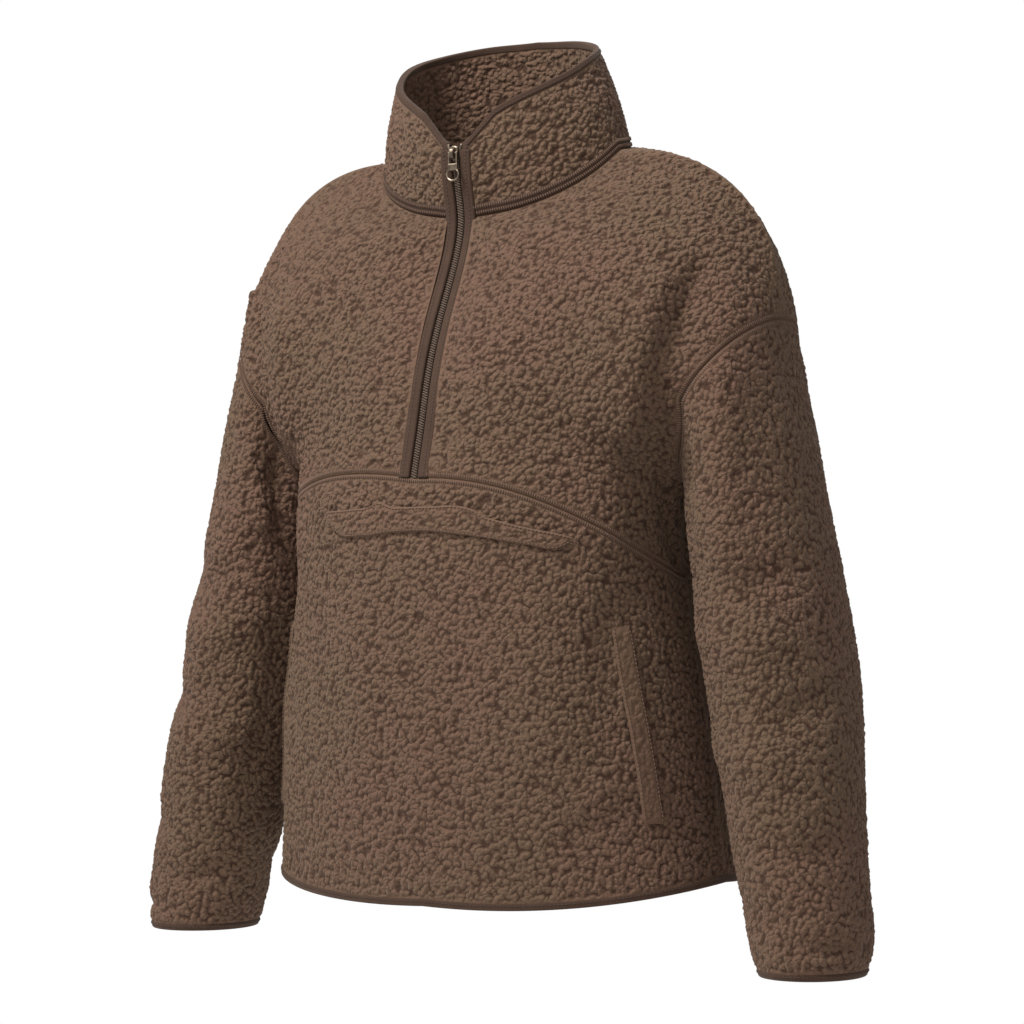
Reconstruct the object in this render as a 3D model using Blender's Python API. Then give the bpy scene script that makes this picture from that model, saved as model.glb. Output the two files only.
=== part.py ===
"""A half-zip fleece pullover, filled out as it is worn, with nobody in it.

Metres, +Z up, the front towards -Y and the wearer's left towards +X. The origin is level with the
points where the shoulders meet the neck, on the line down the middle of the body.

Each panel is a grid of points: rows run across the body, columns run up it. The front and the back
are worked out for the left half and mirrored. A row starts on the middle of the panel or on the
neckline, and ends on the side seam or on the armhole, which is the slanting top of the sleeve's tube.
"""

import math
from collections import namedtuple

import bpy
import numpy as np
from mathutils import Matrix, Vector
from mathutils.bvhtree import BVHTree

# Cloth and seams
CLOTH = 0.003
COLLAR_CLOTH = 0.004
SEAM_GAP = 0.0003
LAID_GAP = 0.0007
SEAM_DIP = 0.0015

# Heights on the body
HEM_FRONT = -0.607
HEM_BACK = -0.597
HEM_SIDE = -0.588
YOKE_MIDDLE = -0.266
YOKE_SIDE_LEFT = -0.345
YOKE_SIDE_RIGHT = -0.310
YOKE_LIFT_SHARE = 0.3
ARMPIT = -0.272
ARMHOLE_TOP = -0.140
CUFF_END = -0.654
CUFF_END_RIGHT = -0.649

# The neck seam, a tilted oval
NECK_HALF_WIDTH = 0.108
NECK_FRONT = 0.067
NECK_BACK = 0.085
NECK_DROP = 0.055
NECK_RISE = 0.012

# Bindings
EDGE_BINDING = 0.0055
EDGE_PROUD = 0.0004
BINDING_ROUND = 0.0011
ZIP_BINDING_INNER = 0.0042
ZIP_BINDING_OUTER = 0.0122
ZIP_BINDING_DEPTH = 0.0026
ZIP_TOP_DROP = 0.0020
ZIP_END_GAP = 0.0024
ZIP_STEPS = 19
ZIP_TAPE = 0.0009
ZIP_TAPE_HALF_WIDTH = 0.0105
ZIP_CHAIN = 0.0022
ZIP_CHAIN_HALF_WIDTH = 0.0029
NECK_BAND_START = 0.0008
NECK_BAND_WIDTH = 0.009
NECK_BAND_THICK = 0.0011

# The grid of a half panel
YOKE_ROW = 12
ARMPIT_ROW = 15
NECK_ROW = 23
TOP_ROW = 30
COLUMNS = (0.0, 0.08, 0.17, 0.26, 0.35, 0.44, 0.53, 0.61, 0.69, 0.76, 0.82, 0.875, 0.92, 0.96, 1.0)
NECK_ROW_ANGLE = 60.0
SLEEVE_ROWS = 16
COLLAR_ROWS = 5

Line = namedtuple("Line", "height out")
FRONT_LINE = (
    Line(-0.607, 0.125),
    Line(-0.500, 0.1365),
    Line(-0.400, 0.1425),
    Line(-0.320, 0.1430),
    Line(-0.263, 0.1385),
    Line(-0.228, 0.1290),
    Line(-0.180, 0.1174),
    Line(-0.140, 0.1020),
    Line(-0.108, 0.0860),
    Line(-0.080, 0.0735),
    Line(-0.055, 0.0670),
)
BACK_LINE = (
    Line(-0.597, 0.120),
    Line(-0.500, 0.130),
    Line(-0.400, 0.136),
    Line(-0.300, 0.142),
    Line(-0.200, 0.145),
    Line(-0.120, 0.137),
    Line(-0.060, 0.118),
    Line(-0.020, 0.100),
    Line(0.012, 0.085),
)
SIDE_LINE = (
    Line(-0.588, 0.204),
    Line(-0.530, 0.197),
    Line(-0.470, 0.188),
    Line(-0.400, 0.176),
    Line(-0.360, 0.169),
    Line(-0.330, 0.165),
    Line(-0.300, 0.164),
    Line(-0.285, 0.166),
    Line(-0.272, 0.172),
)
SIDE_SEAM_Y = 0.005

# The two middle control points of a row's curve
Row = namedtuple("Row", "row x1 y1 z1 x2 y2 z2")
FRONT_ROWS = (
    Row(0, 0.125, -0.1265, -0.607, 0.203, -0.078, -0.587),
    Row(6, 0.118, -0.1445, -0.436, 0.187, -0.088, -0.458),
    Row(12, 0.108, -0.1425, -0.262, 0.172, -0.100, -0.318),
    Row(15, 0.112, -0.1400, -0.232, 0.180, -0.078, -0.272),
    Row(19, 0.105, -0.1280, -0.154, 0.162, -0.106, -0.223),
    Row(23, 0.090, -0.0920, -0.070, 0.185, -0.100, -0.120),
    Row(26, 0.128, -0.0620, -0.048, 0.220, -0.062, -0.078),
    Row(30, 0.172, 0.0000, 0.002, 0.251, 0.008, -0.028),
)
BACK_ROWS = (
    Row(0, 0.120, 0.1210, -0.5940, 0.203, 0.078, -0.586),
    Row(6, 0.115, 0.1370, -0.430, 0.188, 0.088, -0.458),
    Row(12, 0.108, 0.1470, -0.290, 0.174, 0.095, -0.338),
    Row(15, 0.110, 0.1500, -0.222, 0.184, 0.090, -0.266),
    Row(19, 0.105, 0.1450, -0.132, 0.170, 0.130, -0.208),
    Row(23, 0.090, 0.1050, -0.010, 0.190, 0.118, -0.105),
    Row(26, 0.128, 0.0720, 0.002, 0.224, 0.078, -0.066),
    Row(30, 0.172, 0.0000, 0.002, 0.251, 0.008, -0.028),
)

# The sleeve's tube: its middle, and how far it reaches outwards, inwards and to front and back
Tube = namedtuple("Tube", "height x y outer inner deep")
SLEEVE = (
    Tube(-0.130, 0.1870, 0.0120, 0.0640, 0.0300, 0.0780),
    Tube(-0.180, 0.1965, 0.0070, 0.0615, 0.0310, 0.0780),
    Tube(-0.244, 0.2130, 0.0080, 0.0605, 0.0330, 0.0780),
    Tube(-0.272, 0.2190, 0.0080, 0.0600, 0.0370, 0.0778),
    Tube(-0.300, 0.2255, 0.0075, 0.0600, 0.0425, 0.0775),
    Tube(-0.330, 0.2325, 0.0065, 0.0600, 0.0480, 0.0770),
    Tube(-0.360, 0.2390, 0.0055, 0.0600, 0.0525, 0.0760),
    Tube(-0.400, 0.2475, 0.0040, 0.0595, 0.0570, 0.0740),
    Tube(-0.450, 0.2580, -0.0010, 0.0580, 0.0565, 0.0710),
    Tube(-0.532, 0.2748, -0.0122, 0.0525, 0.0520, 0.0640),
    Tube(-0.590, 0.2855, -0.0160, 0.0485, 0.0485, 0.0580),
    Tube(-0.626, 0.2919, -0.0180, 0.0465, 0.0465, 0.0550),
    Tube(-0.640, 0.2930, -0.0185, 0.0440, 0.0440, 0.0525),
    Tube(-0.649, 0.2935, -0.0187, 0.0410, 0.0410, 0.0490),
)
ARMPIT_FLARE = 0.008
ARMPIT_FLARE_REACH = 0.012

# The collar: how high its top edge stands at each angle round from the front
CollarTop = namedtuple("CollarTop", "angle height")
COLLAR_TOP = (
    CollarTop(0.0, 0.005),
    CollarTop(8.0, 0.0080),
    CollarTop(10.0, 0.0130),
    CollarTop(12.5, 0.0185),
    CollarTop(15.0, 0.0230),
    CollarTop(19.0, 0.0280),
    CollarTop(25.0, 0.0335),
    CollarTop(31.0, 0.0385),
    CollarTop(48.0, 0.0505),
    CollarTop(67.0, 0.0630),
    CollarTop(90.0, 0.0785),
    CollarTop(120.0, 0.092),
    CollarTop(150.0, 0.101),
    CollarTop(180.0, 0.104),
)
COLLAR_TOP_HALF_WIDTH = 0.090
COLLAR_TOP_FRONT = 0.0775
COLLAR_TOP_BACK = 0.080
COLLAR_LEAN = 0.016
COLLAR_BULGE = 0.003

# Large folds: a line of three points, how wide and how deep, and on which side (0 is both)
Fold = namedtuple("Fold", "side start middle end width depth")
FOLDS = (
    Fold(0, (0.221, -0.068, -0.105), (0.196, -0.075, -0.175), (0.190, -0.066, -0.262), 0.020, -0.010),
    Fold(0, (0.150, -0.100, -0.150), (0.155, -0.110, -0.220), (0.160, -0.095, -0.300), 0.026, 0.004),
    Fold(0, (0.222, 0.080, -0.120), (0.200, 0.098, -0.180), (0.190, 0.085, -0.262), 0.020, -0.008),
)

Finish = namedtuple("Finish", "colour roughness metallic")
FLEECE = Finish((0.155, 0.095, 0.068), 0.95, 0.0)
BINDING = Finish((0.080, 0.046, 0.030), 0.80, 0.0)
COIL = Finish((0.110, 0.070, 0.048), 0.50, 0.0)
METAL = Finish((0.560, 0.470, 0.360), 0.35, 1.0)

# The zip's slider and its pull tab
SLIDER_MIDDLE = -0.0035
SLIDER_WIDTH = 0.0076
SLIDER_WAIST = 0.72
SLIDER_LENGTH = 0.0120
SLIDER_THICK = 0.0026
BRIDGE_WIDTH = 0.0030
BRIDGE_LENGTH = 0.0090
BRIDGE_HEIGHT = 0.0048
BRIDGE_STEPS = 13
BRIDGE_SQUARE = 0.6
BRIDGE_SINK = 0.0005
BRIDGE_INNER_LENGTH = 0.72
BRIDGE_INNER_RISE = 0.62
SLIDER_STEPS = 13
SLIDER_FLARE = 3.0
SLIDER_FLARE_FROM = 0.1
SLIDER_SQUARE = 7
SLIDER_END_WIDTH = 0.25
SLIDER_EDGE = 0.0007
PULL_LAP = 0.0004
PULL_ARM_EDGE = 0.0004
PULL_BLOCK_PROUD = 0.0002
PULL_BLOCK_EDGE = 0.0006
PIN_SIDES = 10
WIRE_SIDES = 6
PIN_LIFT = 0.0014
PULL_PIN = 0.0007
PULL_ARM_SPACING = 0.0072
PULL_ARM_WIDTH = 0.0014
PULL_ARM_LENGTH = 0.0088
PULL_BLOCK_WIDTH = 0.0090
PULL_BLOCK_LENGTH = 0.0058
PULL_THICK = 0.0014
RING_HALF_WIDTH = 0.0056
RING_HALF_HEIGHT = 0.0048
RING_WIRE = 0.0009
RING_SIDES = 20

# The welt across the front, as its top and bottom edges, and the two side pocket welts
Welt = namedtuple("Welt", "x top bottom")
WELT = (
    Welt(-0.090, -0.2945, -0.3000),
    Welt(-0.083, -0.2915, -0.3060),
    Welt(-0.064, -0.2910, -0.3130),
    Welt(-0.044, -0.2900, -0.3115),
    Welt(-0.025, -0.2870, -0.3090),
    Welt(-0.007, -0.2900, -0.3080),
    Welt(0.018, -0.2900, -0.3075),
    Welt(0.046, -0.2895, -0.3105),
    Welt(0.060, -0.2950, -0.3125),
    Welt(0.076, -0.3005, -0.3145),
    Welt(0.100, -0.3055, -0.3185),
    Welt(0.120, -0.3085, -0.3200),
    Welt(0.129, -0.3110, -0.3150),
)
WELT_STEPS = 23
WELT_PROUD = 0.0022
WELT_THIN = 0.0012
SidePocket = namedtuple("SidePocket", "angle height")
POCKET_TOP = SidePocket(63.5, -0.383)
POCKET_BOTTOM = SidePocket(70.0, -0.538)
POCKET_HALF_ANGLE = 2.6
POCKET_STEPS = 8
POCKET_PROUD = 0.0024
POCKET_THIN = 0.0012

# Points nearer than this are one point: a hundredth of a millimetre
KEYS_PER_METRE = 1e5


def smooth(xs, ys, at):
    """A smooth curve through the points (xs, ys), read at one place or at many."""
    xs = np.asarray(xs, float)
    ys = np.asarray(ys, float)
    slopes = np.gradient(ys, xs)
    at = np.clip(at, xs[0], xs[-1])
    i = np.clip(np.searchsorted(xs, at) - 1, 0, len(xs) - 2)
    step = xs[i + 1] - xs[i]
    t = (at - xs[i]) / step
    return (
        (2 * t**3 - 3 * t**2 + 1) * ys[i]
        + (t**3 - 2 * t**2 + t) * step * slopes[i]
        + (3 * t**2 - 2 * t**3) * ys[i + 1]
        + (t**3 - t**2) * step * slopes[i + 1]
    )


def read(table, key, column, at):
    """A table's column as a smooth curve over its key column."""
    rows = sorted(table, key=lambda r: getattr(r, key))
    return smooth([getattr(r, key) for r in rows], [getattr(r, column) for r in rows], at)


def unit(v):
    return v / np.maximum(np.linalg.norm(v, axis=-1, keepdims=True), 1e-12)


# Curves that the panels share


def neck_point(angle):
    """The neck seam, at an angle in degrees round from the front towards the left."""
    a = math.radians(angle)
    forward = math.cos(a)
    if forward > 0:
        y = -NECK_FRONT * forward**0.85
        z = -NECK_DROP * forward
    else:
        y = -NECK_BACK * forward
        z = -NECK_RISE * forward
    return np.array([NECK_HALF_WIDTH * math.sin(a), y, z])


def tube_point(angle, height):
    """The left sleeve's tube: 0 degrees is its outer side, 90 its front, 180 its inner side."""
    a = math.radians(angle)
    across = math.cos(a)
    reach = read(SLEEVE, "height", "outer" if across > 0 else "inner", height)
    x = read(SLEEVE, "height", "x", height) + reach * across
    y = read(SLEEVE, "height", "y", height) - read(SLEEVE, "height", "deep", height) * math.sin(a)
    return np.array([x, y, height])


def armhole_height(angle):
    middle = (ARMHOLE_TOP + ARMPIT) / 2
    return middle + (ARMHOLE_TOP - ARMPIT) / 2 * math.cos(math.radians(angle))


def sleeve_point(angle, share, end):
    """The left sleeve, from its armhole at share 0 to its end at share 1."""
    top = armhole_height(angle)
    height = top + (end - top) * share
    point = tube_point(angle, height)
    inward = max(0.0, -math.cos(math.radians(angle)))
    point[0] -= ARMPIT_FLARE * inward**2 * math.exp(-(top - height) / ARMPIT_FLARE_REACH)
    return point


def armhole_angle(row):
    """Which point of the armhole a row of the front ends on."""
    if row <= NECK_ROW:
        return 180.0 - (180.0 - NECK_ROW_ANGLE) * (row - ARMPIT_ROW) / (NECK_ROW - ARMPIT_ROW)
    return NECK_ROW_ANGLE * (TOP_ROW - row) / (TOP_ROW - NECK_ROW)


def side_point(row, front, yoke_side):
    """Where a row ends: on the side seam, then on the armhole."""
    if row >= ARMPIT_ROW:
        angle = armhole_angle(row)
        return sleeve_point(angle if front else -angle, 0.0, CUFF_END)
    low = HEM_SIDE + EDGE_BINDING
    height = np.interp(row, (0, YOKE_ROW, ARMPIT_ROW), (low, yoke_side, ARMPIT))
    return np.array([read(SIDE_LINE, "height", "out", height), SIDE_SEAM_Y, height])


def middle_point(row, front):
    """Where a row starts: on the panel's middle line, then on the neck seam."""
    if row >= NECK_ROW:
        turn = 90.0 * (row - NECK_ROW) / (TOP_ROW - NECK_ROW)
        return neck_point(turn if front else 180.0 - turn)
    if front:
        heights = (HEM_FRONT + EDGE_BINDING, YOKE_MIDDLE, -NECK_DROP)
        height = np.interp(row, (0, YOKE_ROW, NECK_ROW), heights)
        return np.array([0.0, -read(FRONT_LINE, "height", "out", height), height])
    height = np.interp(row, (0, NECK_ROW), (HEM_BACK + EDGE_BINDING, NECK_RISE))
    return np.array([0.0, read(BACK_LINE, "height", "out", height), height])


def half_panel(front, yoke_side):
    """A half of the front or the back, as a left one: an array of rows, columns and coordinates."""
    table = FRONT_ROWS if front else BACK_ROWS
    grid = np.zeros((TOP_ROW + 1, len(COLUMNS), 3))
    s = np.array(COLUMNS)[:, None]
    for row in range(TOP_ROW + 1):
        first = np.array([read(table, "row", c, row) for c in ("x1", "y1", "z1")])
        second = np.array([read(table, "row", c, row) for c in ("x2", "y2", "z2")])
        lift = (yoke_side - YOKE_SIDE_LEFT) * np.interp(row, (0, YOKE_ROW, ARMPIT_ROW), (0, 1, 0))
        first[2] += lift * YOKE_LIFT_SHARE
        second[2] += lift
        start, end = middle_point(row, front), side_point(row, front, yoke_side)
        grid[row] = (
            (1 - s) ** 3 * start
            + 3 * (1 - s) ** 2 * s * first
            + 3 * (1 - s) * s**2 * second
            + s**3 * end
        )
    return grid


def mirrored(grid):
    """The same grid on the right side, its columns turned round so that it still faces out."""
    return grid[:, ::-1] * np.array([-1.0, 1.0, 1.0])


def from_zip(grid):
    """Moves the first column out to the edge of the zip's binding, where it lies inside that."""
    edge = np.abs(grid[:, 0, 0])
    share = (ZIP_BINDING_OUTER - edge) / (np.abs(grid[:, 1, 0]) - edge)
    share = np.where(edge < ZIP_BINDING_OUTER, share, 0.0)[:, None]
    moved = grid.copy()
    moved[:, 0] += (grid[:, 1] - grid[:, 0]) * share
    return moved


def sleeve_grid(end):
    angles = [armhole_angle(row) for row in range(TOP_ROW, ARMPIT_ROW - 1, -1)]
    around = angles + [360.0 - a for a in reversed(angles[1:-1])]
    shares = np.linspace(0.0, 1.0, SLEEVE_ROWS + 1)
    rows = [[sleeve_point(a, share, end + EDGE_BINDING) for a in around] for share in shares]
    rows = np.array(rows)
    return np.concatenate([rows, rows[:, :1]], axis=1)


def collar_point(angle, share):
    """The collar, from the neck seam at share 0 to just under its binding at share 1."""
    a = math.radians(angle)
    base = neck_point(angle)
    height = read(COLLAR_TOP, "angle", "height", 180.0 - abs(180.0 - angle % 360.0)) - EDGE_BINDING
    forward = math.cos(a)
    deep = COLLAR_TOP_FRONT if forward > 0 else COLLAR_TOP_BACK
    lean = COLLAR_LEAN * (1 - forward) / 2
    top = np.array([COLLAR_TOP_HALF_WIDTH * math.sin(a) - lean, -deep * forward, height])
    bulge = COLLAR_BULGE * 4 * share * (1 - share)
    out = np.array([math.sin(a), -forward, 0.0])
    return base + (top - base) * share + out * bulge


def collar_angles():
    quarter = [90.0 * i / (TOP_ROW - NECK_ROW) for i in range(TOP_ROW - NECK_ROW + 1)]
    half = quarter + [180.0 - a for a in reversed(quarter[:-1])]
    return half + [360.0 - a for a in reversed(half[:-1])]


def collar_grid():
    shares = np.linspace(0.0, 1.0, COLLAR_ROWS + 1)
    grid = np.array([[collar_point(a, share) for a in collar_angles()] for share in shares])
    return from_zip(from_zip(grid)[:, ::-1])[:, ::-1]


# One surface for the whole garment


def line_distance(points, line):
    """How far each point lies from a line of corners."""
    nearest = np.full(points.shape[:-1], np.inf)
    for a, b in zip(line, line[1:]):
        a, b = np.array(a), np.array(b)
        share = np.clip(((points - a) @ (b - a)) / ((b - a) @ (b - a)), 0.0, 1.0)
        gap = np.linalg.norm(points - (a + share[..., None] * (b - a)), axis=-1)
        nearest = np.minimum(nearest, gap)
    return nearest


def fold_heights(points):
    """How far the folds lift each point off the plain surface, troughs below zero."""
    lift = np.zeros(points.shape[:-1])
    for fold in FOLDS:
        for side in (-1.0, 1.0):
            if fold.side in (0, side):
                line = [(side * x, y, z) for x, y, z in (fold.start, fold.middle, fold.end)]
                lift += fold.depth * np.exp(-((line_distance(points, line) / fold.width) ** 2))
    return lift


class Panel:
    """A panel of cloth: points shared by its grids, and faces that look outwards."""

    def __init__(self, name, grids, wall):
        self.name = name
        self.wall = wall
        self.points = []
        self.faces = []
        self.index = {}
        self.grids = [self.take(grid) for grid in grids]
        self.points = np.array(self.points)
        self.normals = np.zeros_like(self.points)

    def take(self, grid):
        """Adds a grid and returns the numbers of its points."""
        numbers = np.zeros(grid.shape[:2], int)
        for r, row in enumerate(grid):
            for c, point in enumerate(row):
                key = key_of(point)
                if key not in self.index:
                    self.index[key] = len(self.points)
                    self.points.append(point)
                numbers[r, c] = self.index[key]
        for r in range(grid.shape[0] - 1):
            for c in range(grid.shape[1] - 1):
                quad = (numbers[r, c], numbers[r, c + 1], numbers[r + 1, c + 1], numbers[r + 1, c])
                self.faces.append(tuple(int(i) for i in dict.fromkeys(quad)))
        return numbers

    def keys(self):
        return [key_of(p) for p in self.points]

    def border_edges(self):
        """The edges that only one face uses, each in that face's order."""
        used = {}
        for face in self.faces:
            for a, b in zip(face, face[1:] + face[:1]):
                used[(a, b)] = used.get((a, b), 0) + 1
        return [(a, b) for a, b in used if (b, a) not in used]


def key_of(point):
    return tuple(int(round(v * KEYS_PER_METRE)) for v in point)


def share_normals(panels):
    """Gives each point its outward normal, the same for all panels that meet there."""
    totals = {}
    for panel in panels:
        keys = panel.keys()
        for face in panel.faces:
            corners = [panel.points[i] for i in face]
            normal = sum(np.cross(b, c) for b, c in zip(corners, corners[1:] + corners[:1]))
            for i in face:
                totals[keys[i]] = totals.get(keys[i], 0.0) + normal
    for panel in panels:
        panel.normals = unit(np.array([totals[key] for key in panel.keys()]))


def seam_edges(panels):
    """For each panel, its border edges that another panel has too."""
    owners = {}
    for panel in panels:
        keys = panel.keys()
        for a, b in panel.border_edges():
            owners.setdefault(frozenset((keys[a], keys[b])), []).append((panel.name, (a, b)))
    found = {panel.name: [] for panel in panels}
    for shared in owners.values():
        if len(shared) > 1:
            for name, edge in shared:
                found[name].append(edge)
    return found


def drawn_back(panel, seams):
    """The panel's points, moved back from its seams by half the seam gap."""
    offs = {}
    for a, b in seams:
        along = panel.points[b] - panel.points[a]
        off = unit(np.cross(along, panel.normals[a] + panel.normals[b]))
        for i in (a, b):
            offs.setdefault(i, []).append(off)
    moved = panel.points.copy()
    for i, off in offs.items():
        first, second = off[0], off[-1]
        moved[i] -= SEAM_GAP / 2 * (first + second) / (1 + first @ second)
    return moved


def dip_seams(panels, seams):
    """Draws the armhole and yoke seams in a little, as sewing pulls fleece."""
    dips = {}
    for panel in panels:
        keys = panel.keys()
        for edge in seams[panel.name]:
            for i in edge:
                x, y, z = panel.points[i]
                on_yoke = panel.name == "lower_front" and y < SIDE_SEAM_Y - 0.01
                on_armhole = panel.name.startswith("sleeve")
                if on_yoke or on_armhole:
                    dips[keys[i]] = SEAM_DIP
    for panel in panels:
        drop = np.array([dips.get(key, 0.0) for key in panel.keys()])
        panel.points = panel.points - panel.normals * drop[:, None]


# Solids


def material(name, finish):
    made = bpy.data.materials.get(name) or bpy.data.materials.new(name)
    made.use_nodes = True
    shader = made.node_tree.nodes["Principled BSDF"]
    shader.inputs["Base Color"].default_value = (*finish.colour, 1.0)
    shader.inputs["Roughness"].default_value = finish.roughness
    shader.inputs["Metallic"].default_value = finish.metallic
    return made


def add_object(name, points, faces, finish):
    mesh = bpy.data.meshes.new(name)
    mesh.from_pydata([tuple(float(v) for v in p) for p in points], [], faces)
    mesh.materials.append(material(name, finish))
    mesh.update()
    made = bpy.data.objects.new(name, mesh)
    bpy.context.scene.collection.objects.link(made)
    mesh.shade_smooth()
    mesh.set_sharp_from_angle(angle=math.radians(40))
    return made


def walled(name, outer, inner, faces, rim, keys, finish):
    """A cloth wall between outer and inner points, closed along its rim of border edges.

    The rim's triangles follow the keys, so that two panels are cut alike along their seam.
    """
    total = len(outer)
    made = [tuple(face) for face in faces]
    made += [tuple(total + i for i in reversed(face)) for face in faces]
    for a, b in rim:
        if keys[a] < keys[b]:
            made += [(b, a, total + b), (a, total + a, total + b)]
        else:
            made += [(b, a, total + a), (b, total + a, total + b)]
    return add_object(name, np.concatenate([outer, inner]), made, finish)


def swept(name, rings, closed, finish):
    """A bar through rings of points, each ring in the same order, with flat ends if it is open."""
    rings = np.array(rings)
    count, sides = rings.shape[:2]
    faces = []
    for i in range(count if closed else count - 1):
        j = (i + 1) % count
        for k in range(sides):
            m = (k + 1) % sides
            faces.append((i * sides + k, i * sides + m, j * sides + m, j * sides + k))
    if not closed:
        faces.append(tuple(reversed(range(sides))))
        faces.append(tuple((count - 1) * sides + k for k in range(sides)))
    made = add_object(name, rings.reshape(-1, 3), faces, finish)
    if solid_volume(made) < 0:
        made.data.flip_normals()
    return made


def solid_volume(made):
    total = 0.0
    for face in made.data.polygons:
        corners = [made.data.vertices[i].co for i in face.vertices]
        for b, c in zip(corners[1:], corners[2:]):
            total += corners[0].dot(b.cross(c)) / 6
    return total


def edge_rings(points, normals, off, wall):
    """A binding's rings: a rounded bar that caps a raw edge, as wide as the binding shows."""
    low, high = SEAM_GAP, SEAM_GAP + EDGE_BINDING
    top, bottom = EDGE_PROUD, -wall - EDGE_PROUD
    soft = BINDING_ROUND
    profile = (
        (low, bottom),
        (low, top),
        (high - soft, top),
        (high, top - soft),
        (high, bottom + soft),
        (high - soft, bottom),
    )
    return [[p + o * a + n * b for a, b in profile] for p, n, o in zip(points, normals, off)]


def laid(name, lines, normals, heights, finish):
    """A strip on a panel, from rows of points on it moved out; heights: one for each point."""
    lines, normals = np.array(lines), np.array(normals)
    heights = np.array(heights)[..., None]
    rows, columns = lines.shape[:2]
    number = np.arange(rows * columns).reshape(rows, columns)
    faces = []
    for r in range(rows - 1):
        for c in range(columns - 1):
            faces.append((number[r, c], number[r, c + 1], number[r + 1, c + 1], number[r + 1, c]))
    faces = [tuple(int(i) for i in face) for face in faces]
    low = (lines + normals * LAID_GAP).reshape(-1, 3)
    high = (lines + normals * (LAID_GAP + heights)).reshape(-1, 3)
    first = faces[0]
    facing = np.cross(high[first[1]] - high[first[0]], high[first[3]] - high[first[0]])
    if facing @ normals[0, 0] < 0:
        faces = [tuple(reversed(face)) for face in faces]
    used = {(a, b) for face in faces for a, b in zip(face, face[1:] + face[:1])}
    rim = sorted((a, b) for a, b in used if (b, a) not in used)
    return walled(name, high, low, faces, rim, range(rows * columns), finish)


# The garment


def build_panels():
    front_left = half_panel(True, YOKE_SIDE_LEFT)
    front_right = half_panel(True, YOKE_SIDE_RIGHT)
    back_left = half_panel(False, YOKE_SIDE_LEFT)[:, ::-1]
    back_right = mirrored(half_panel(False, YOKE_SIDE_RIGHT)[:, ::-1])
    collar = collar_grid()
    zip_left, zip_right = from_zip(front_left), from_zip(front_right)
    zip_left[NECK_ROW, 0] = zip_right[NECK_ROW, 0] = collar[0, 0]
    low = slice(0, YOKE_ROW + 1)
    lower = np.concatenate([mirrored(zip_right[low]), zip_left[low]], axis=1)
    panels = [
        Panel("lower_front", [lower], CLOTH),
        Panel("upper_front_left", [zip_left[YOKE_ROW:]], CLOTH),
        Panel("upper_front_right", [mirrored(zip_right[YOKE_ROW:])], CLOTH),
        Panel("back", [back_left, back_right], CLOTH),
        Panel("sleeve_left", [sleeve_grid(CUFF_END)], CLOTH),
        Panel("sleeve_right", [mirrored(sleeve_grid(CUFF_END_RIGHT))], CLOTH),
        Panel("collar", [collar], COLLAR_CLOTH),
    ]
    seams = seam_edges(panels)
    share_normals(panels)
    for panel in panels:
        panel.points = panel.points + panel.normals * fold_heights(panel.points)[:, None]
    dip_seams(panels, seams)
    share_normals(panels)
    for panel in panels:
        outer = drawn_back(panel, seams[panel.name])
        inner = outer - panel.normals * panel.wall
        rim = panel.border_edges()
        walled(panel.name, outer, inner, panel.faces, rim, panel.keys(), FLEECE)
    return {panel.name: panel for panel in panels}


def edge_line(panel, numbers, inside, closed):
    """A raw edge's points, their normals and the directions that lead off the cloth there."""
    points, normals = panel.points[numbers], panel.normals[numbers]
    if closed:
        along = np.roll(points, -1, axis=0) - np.roll(points, 1, axis=0)
    else:
        along = np.gradient(points, axis=0)
    off = unit(np.cross(along, normals))
    sign = np.sign(np.sum(off * (points - panel.points[inside])))
    return points, normals, off * sign


def build_bindings(panels):
    lower, back = panels["lower_front"], panels["back"]
    rings = []
    for panel, grid in ((lower, 0), (back, 0), (back, 1)):
        numbers = panel.grids[grid]
        line = edge_line(panel, numbers[0], numbers[1], False)
        rings.append([part[:-1] for part in line])
    points, normals, off = (np.concatenate(parts) for parts in zip(*rings))
    swept("hem_binding", edge_rings(points, normals, off, CLOTH), True, BINDING)
    for side in ("left", "right"):
        panel = panels[f"sleeve_{side}"]
        numbers = panel.grids[0][:, :-1]
        points, normals, off = edge_line(panel, numbers[-1], numbers[-2], True)
        swept(f"cuff_binding_{side}", edge_rings(points, normals, off, CLOTH), True, BINDING)
    build_collar_binding(panels["collar"])


def build_collar_binding(collar):
    """Along the collar's top edge, and over the tops of the zip's two bindings."""
    numbers = collar.grids[0]
    points, normals, off = edge_line(collar, numbers[-1], numbers[-2], False)
    reach = ZIP_BINDING_OUTER - ZIP_BINDING_INNER
    first = points[0] + np.array([-reach, 0.0, -ZIP_TOP_DROP])
    last = points[-1] + np.array([reach, 0.0, -ZIP_TOP_DROP])
    points = np.concatenate([[first], points, [last]])
    normals = np.concatenate([normals[:1], normals, normals[-1:]])
    off = np.concatenate([off[:1], off, off[-1:]])
    swept("collar_binding", edge_rings(points, normals, off, COLLAR_CLOTH), False, BINDING)


def build_neck_band(collar):
    """A flat band sewn over the neck seam, round the foot of the collar."""
    foot, above = collar.grids[0][0], collar.grids[0][1]
    lines, normals = [], []
    for low, high in zip(foot, above):
        step = collar.points[high] - collar.points[low]
        places = [NECK_BAND_START + NECK_BAND_WIDTH * k / 2 for k in range(3)]
        shares = [place / np.linalg.norm(step) for place in places]
        lines.append([collar.points[low] + step * s for s in shares])
        mix = [collar.normals[low] * (1 - s) + collar.normals[high] * s for s in shares]
        normals.append(unit(np.array(mix)))
    laid("neck_band", lines, normals, np.full((len(lines), 3), NECK_BAND_THICK), BINDING)


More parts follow.
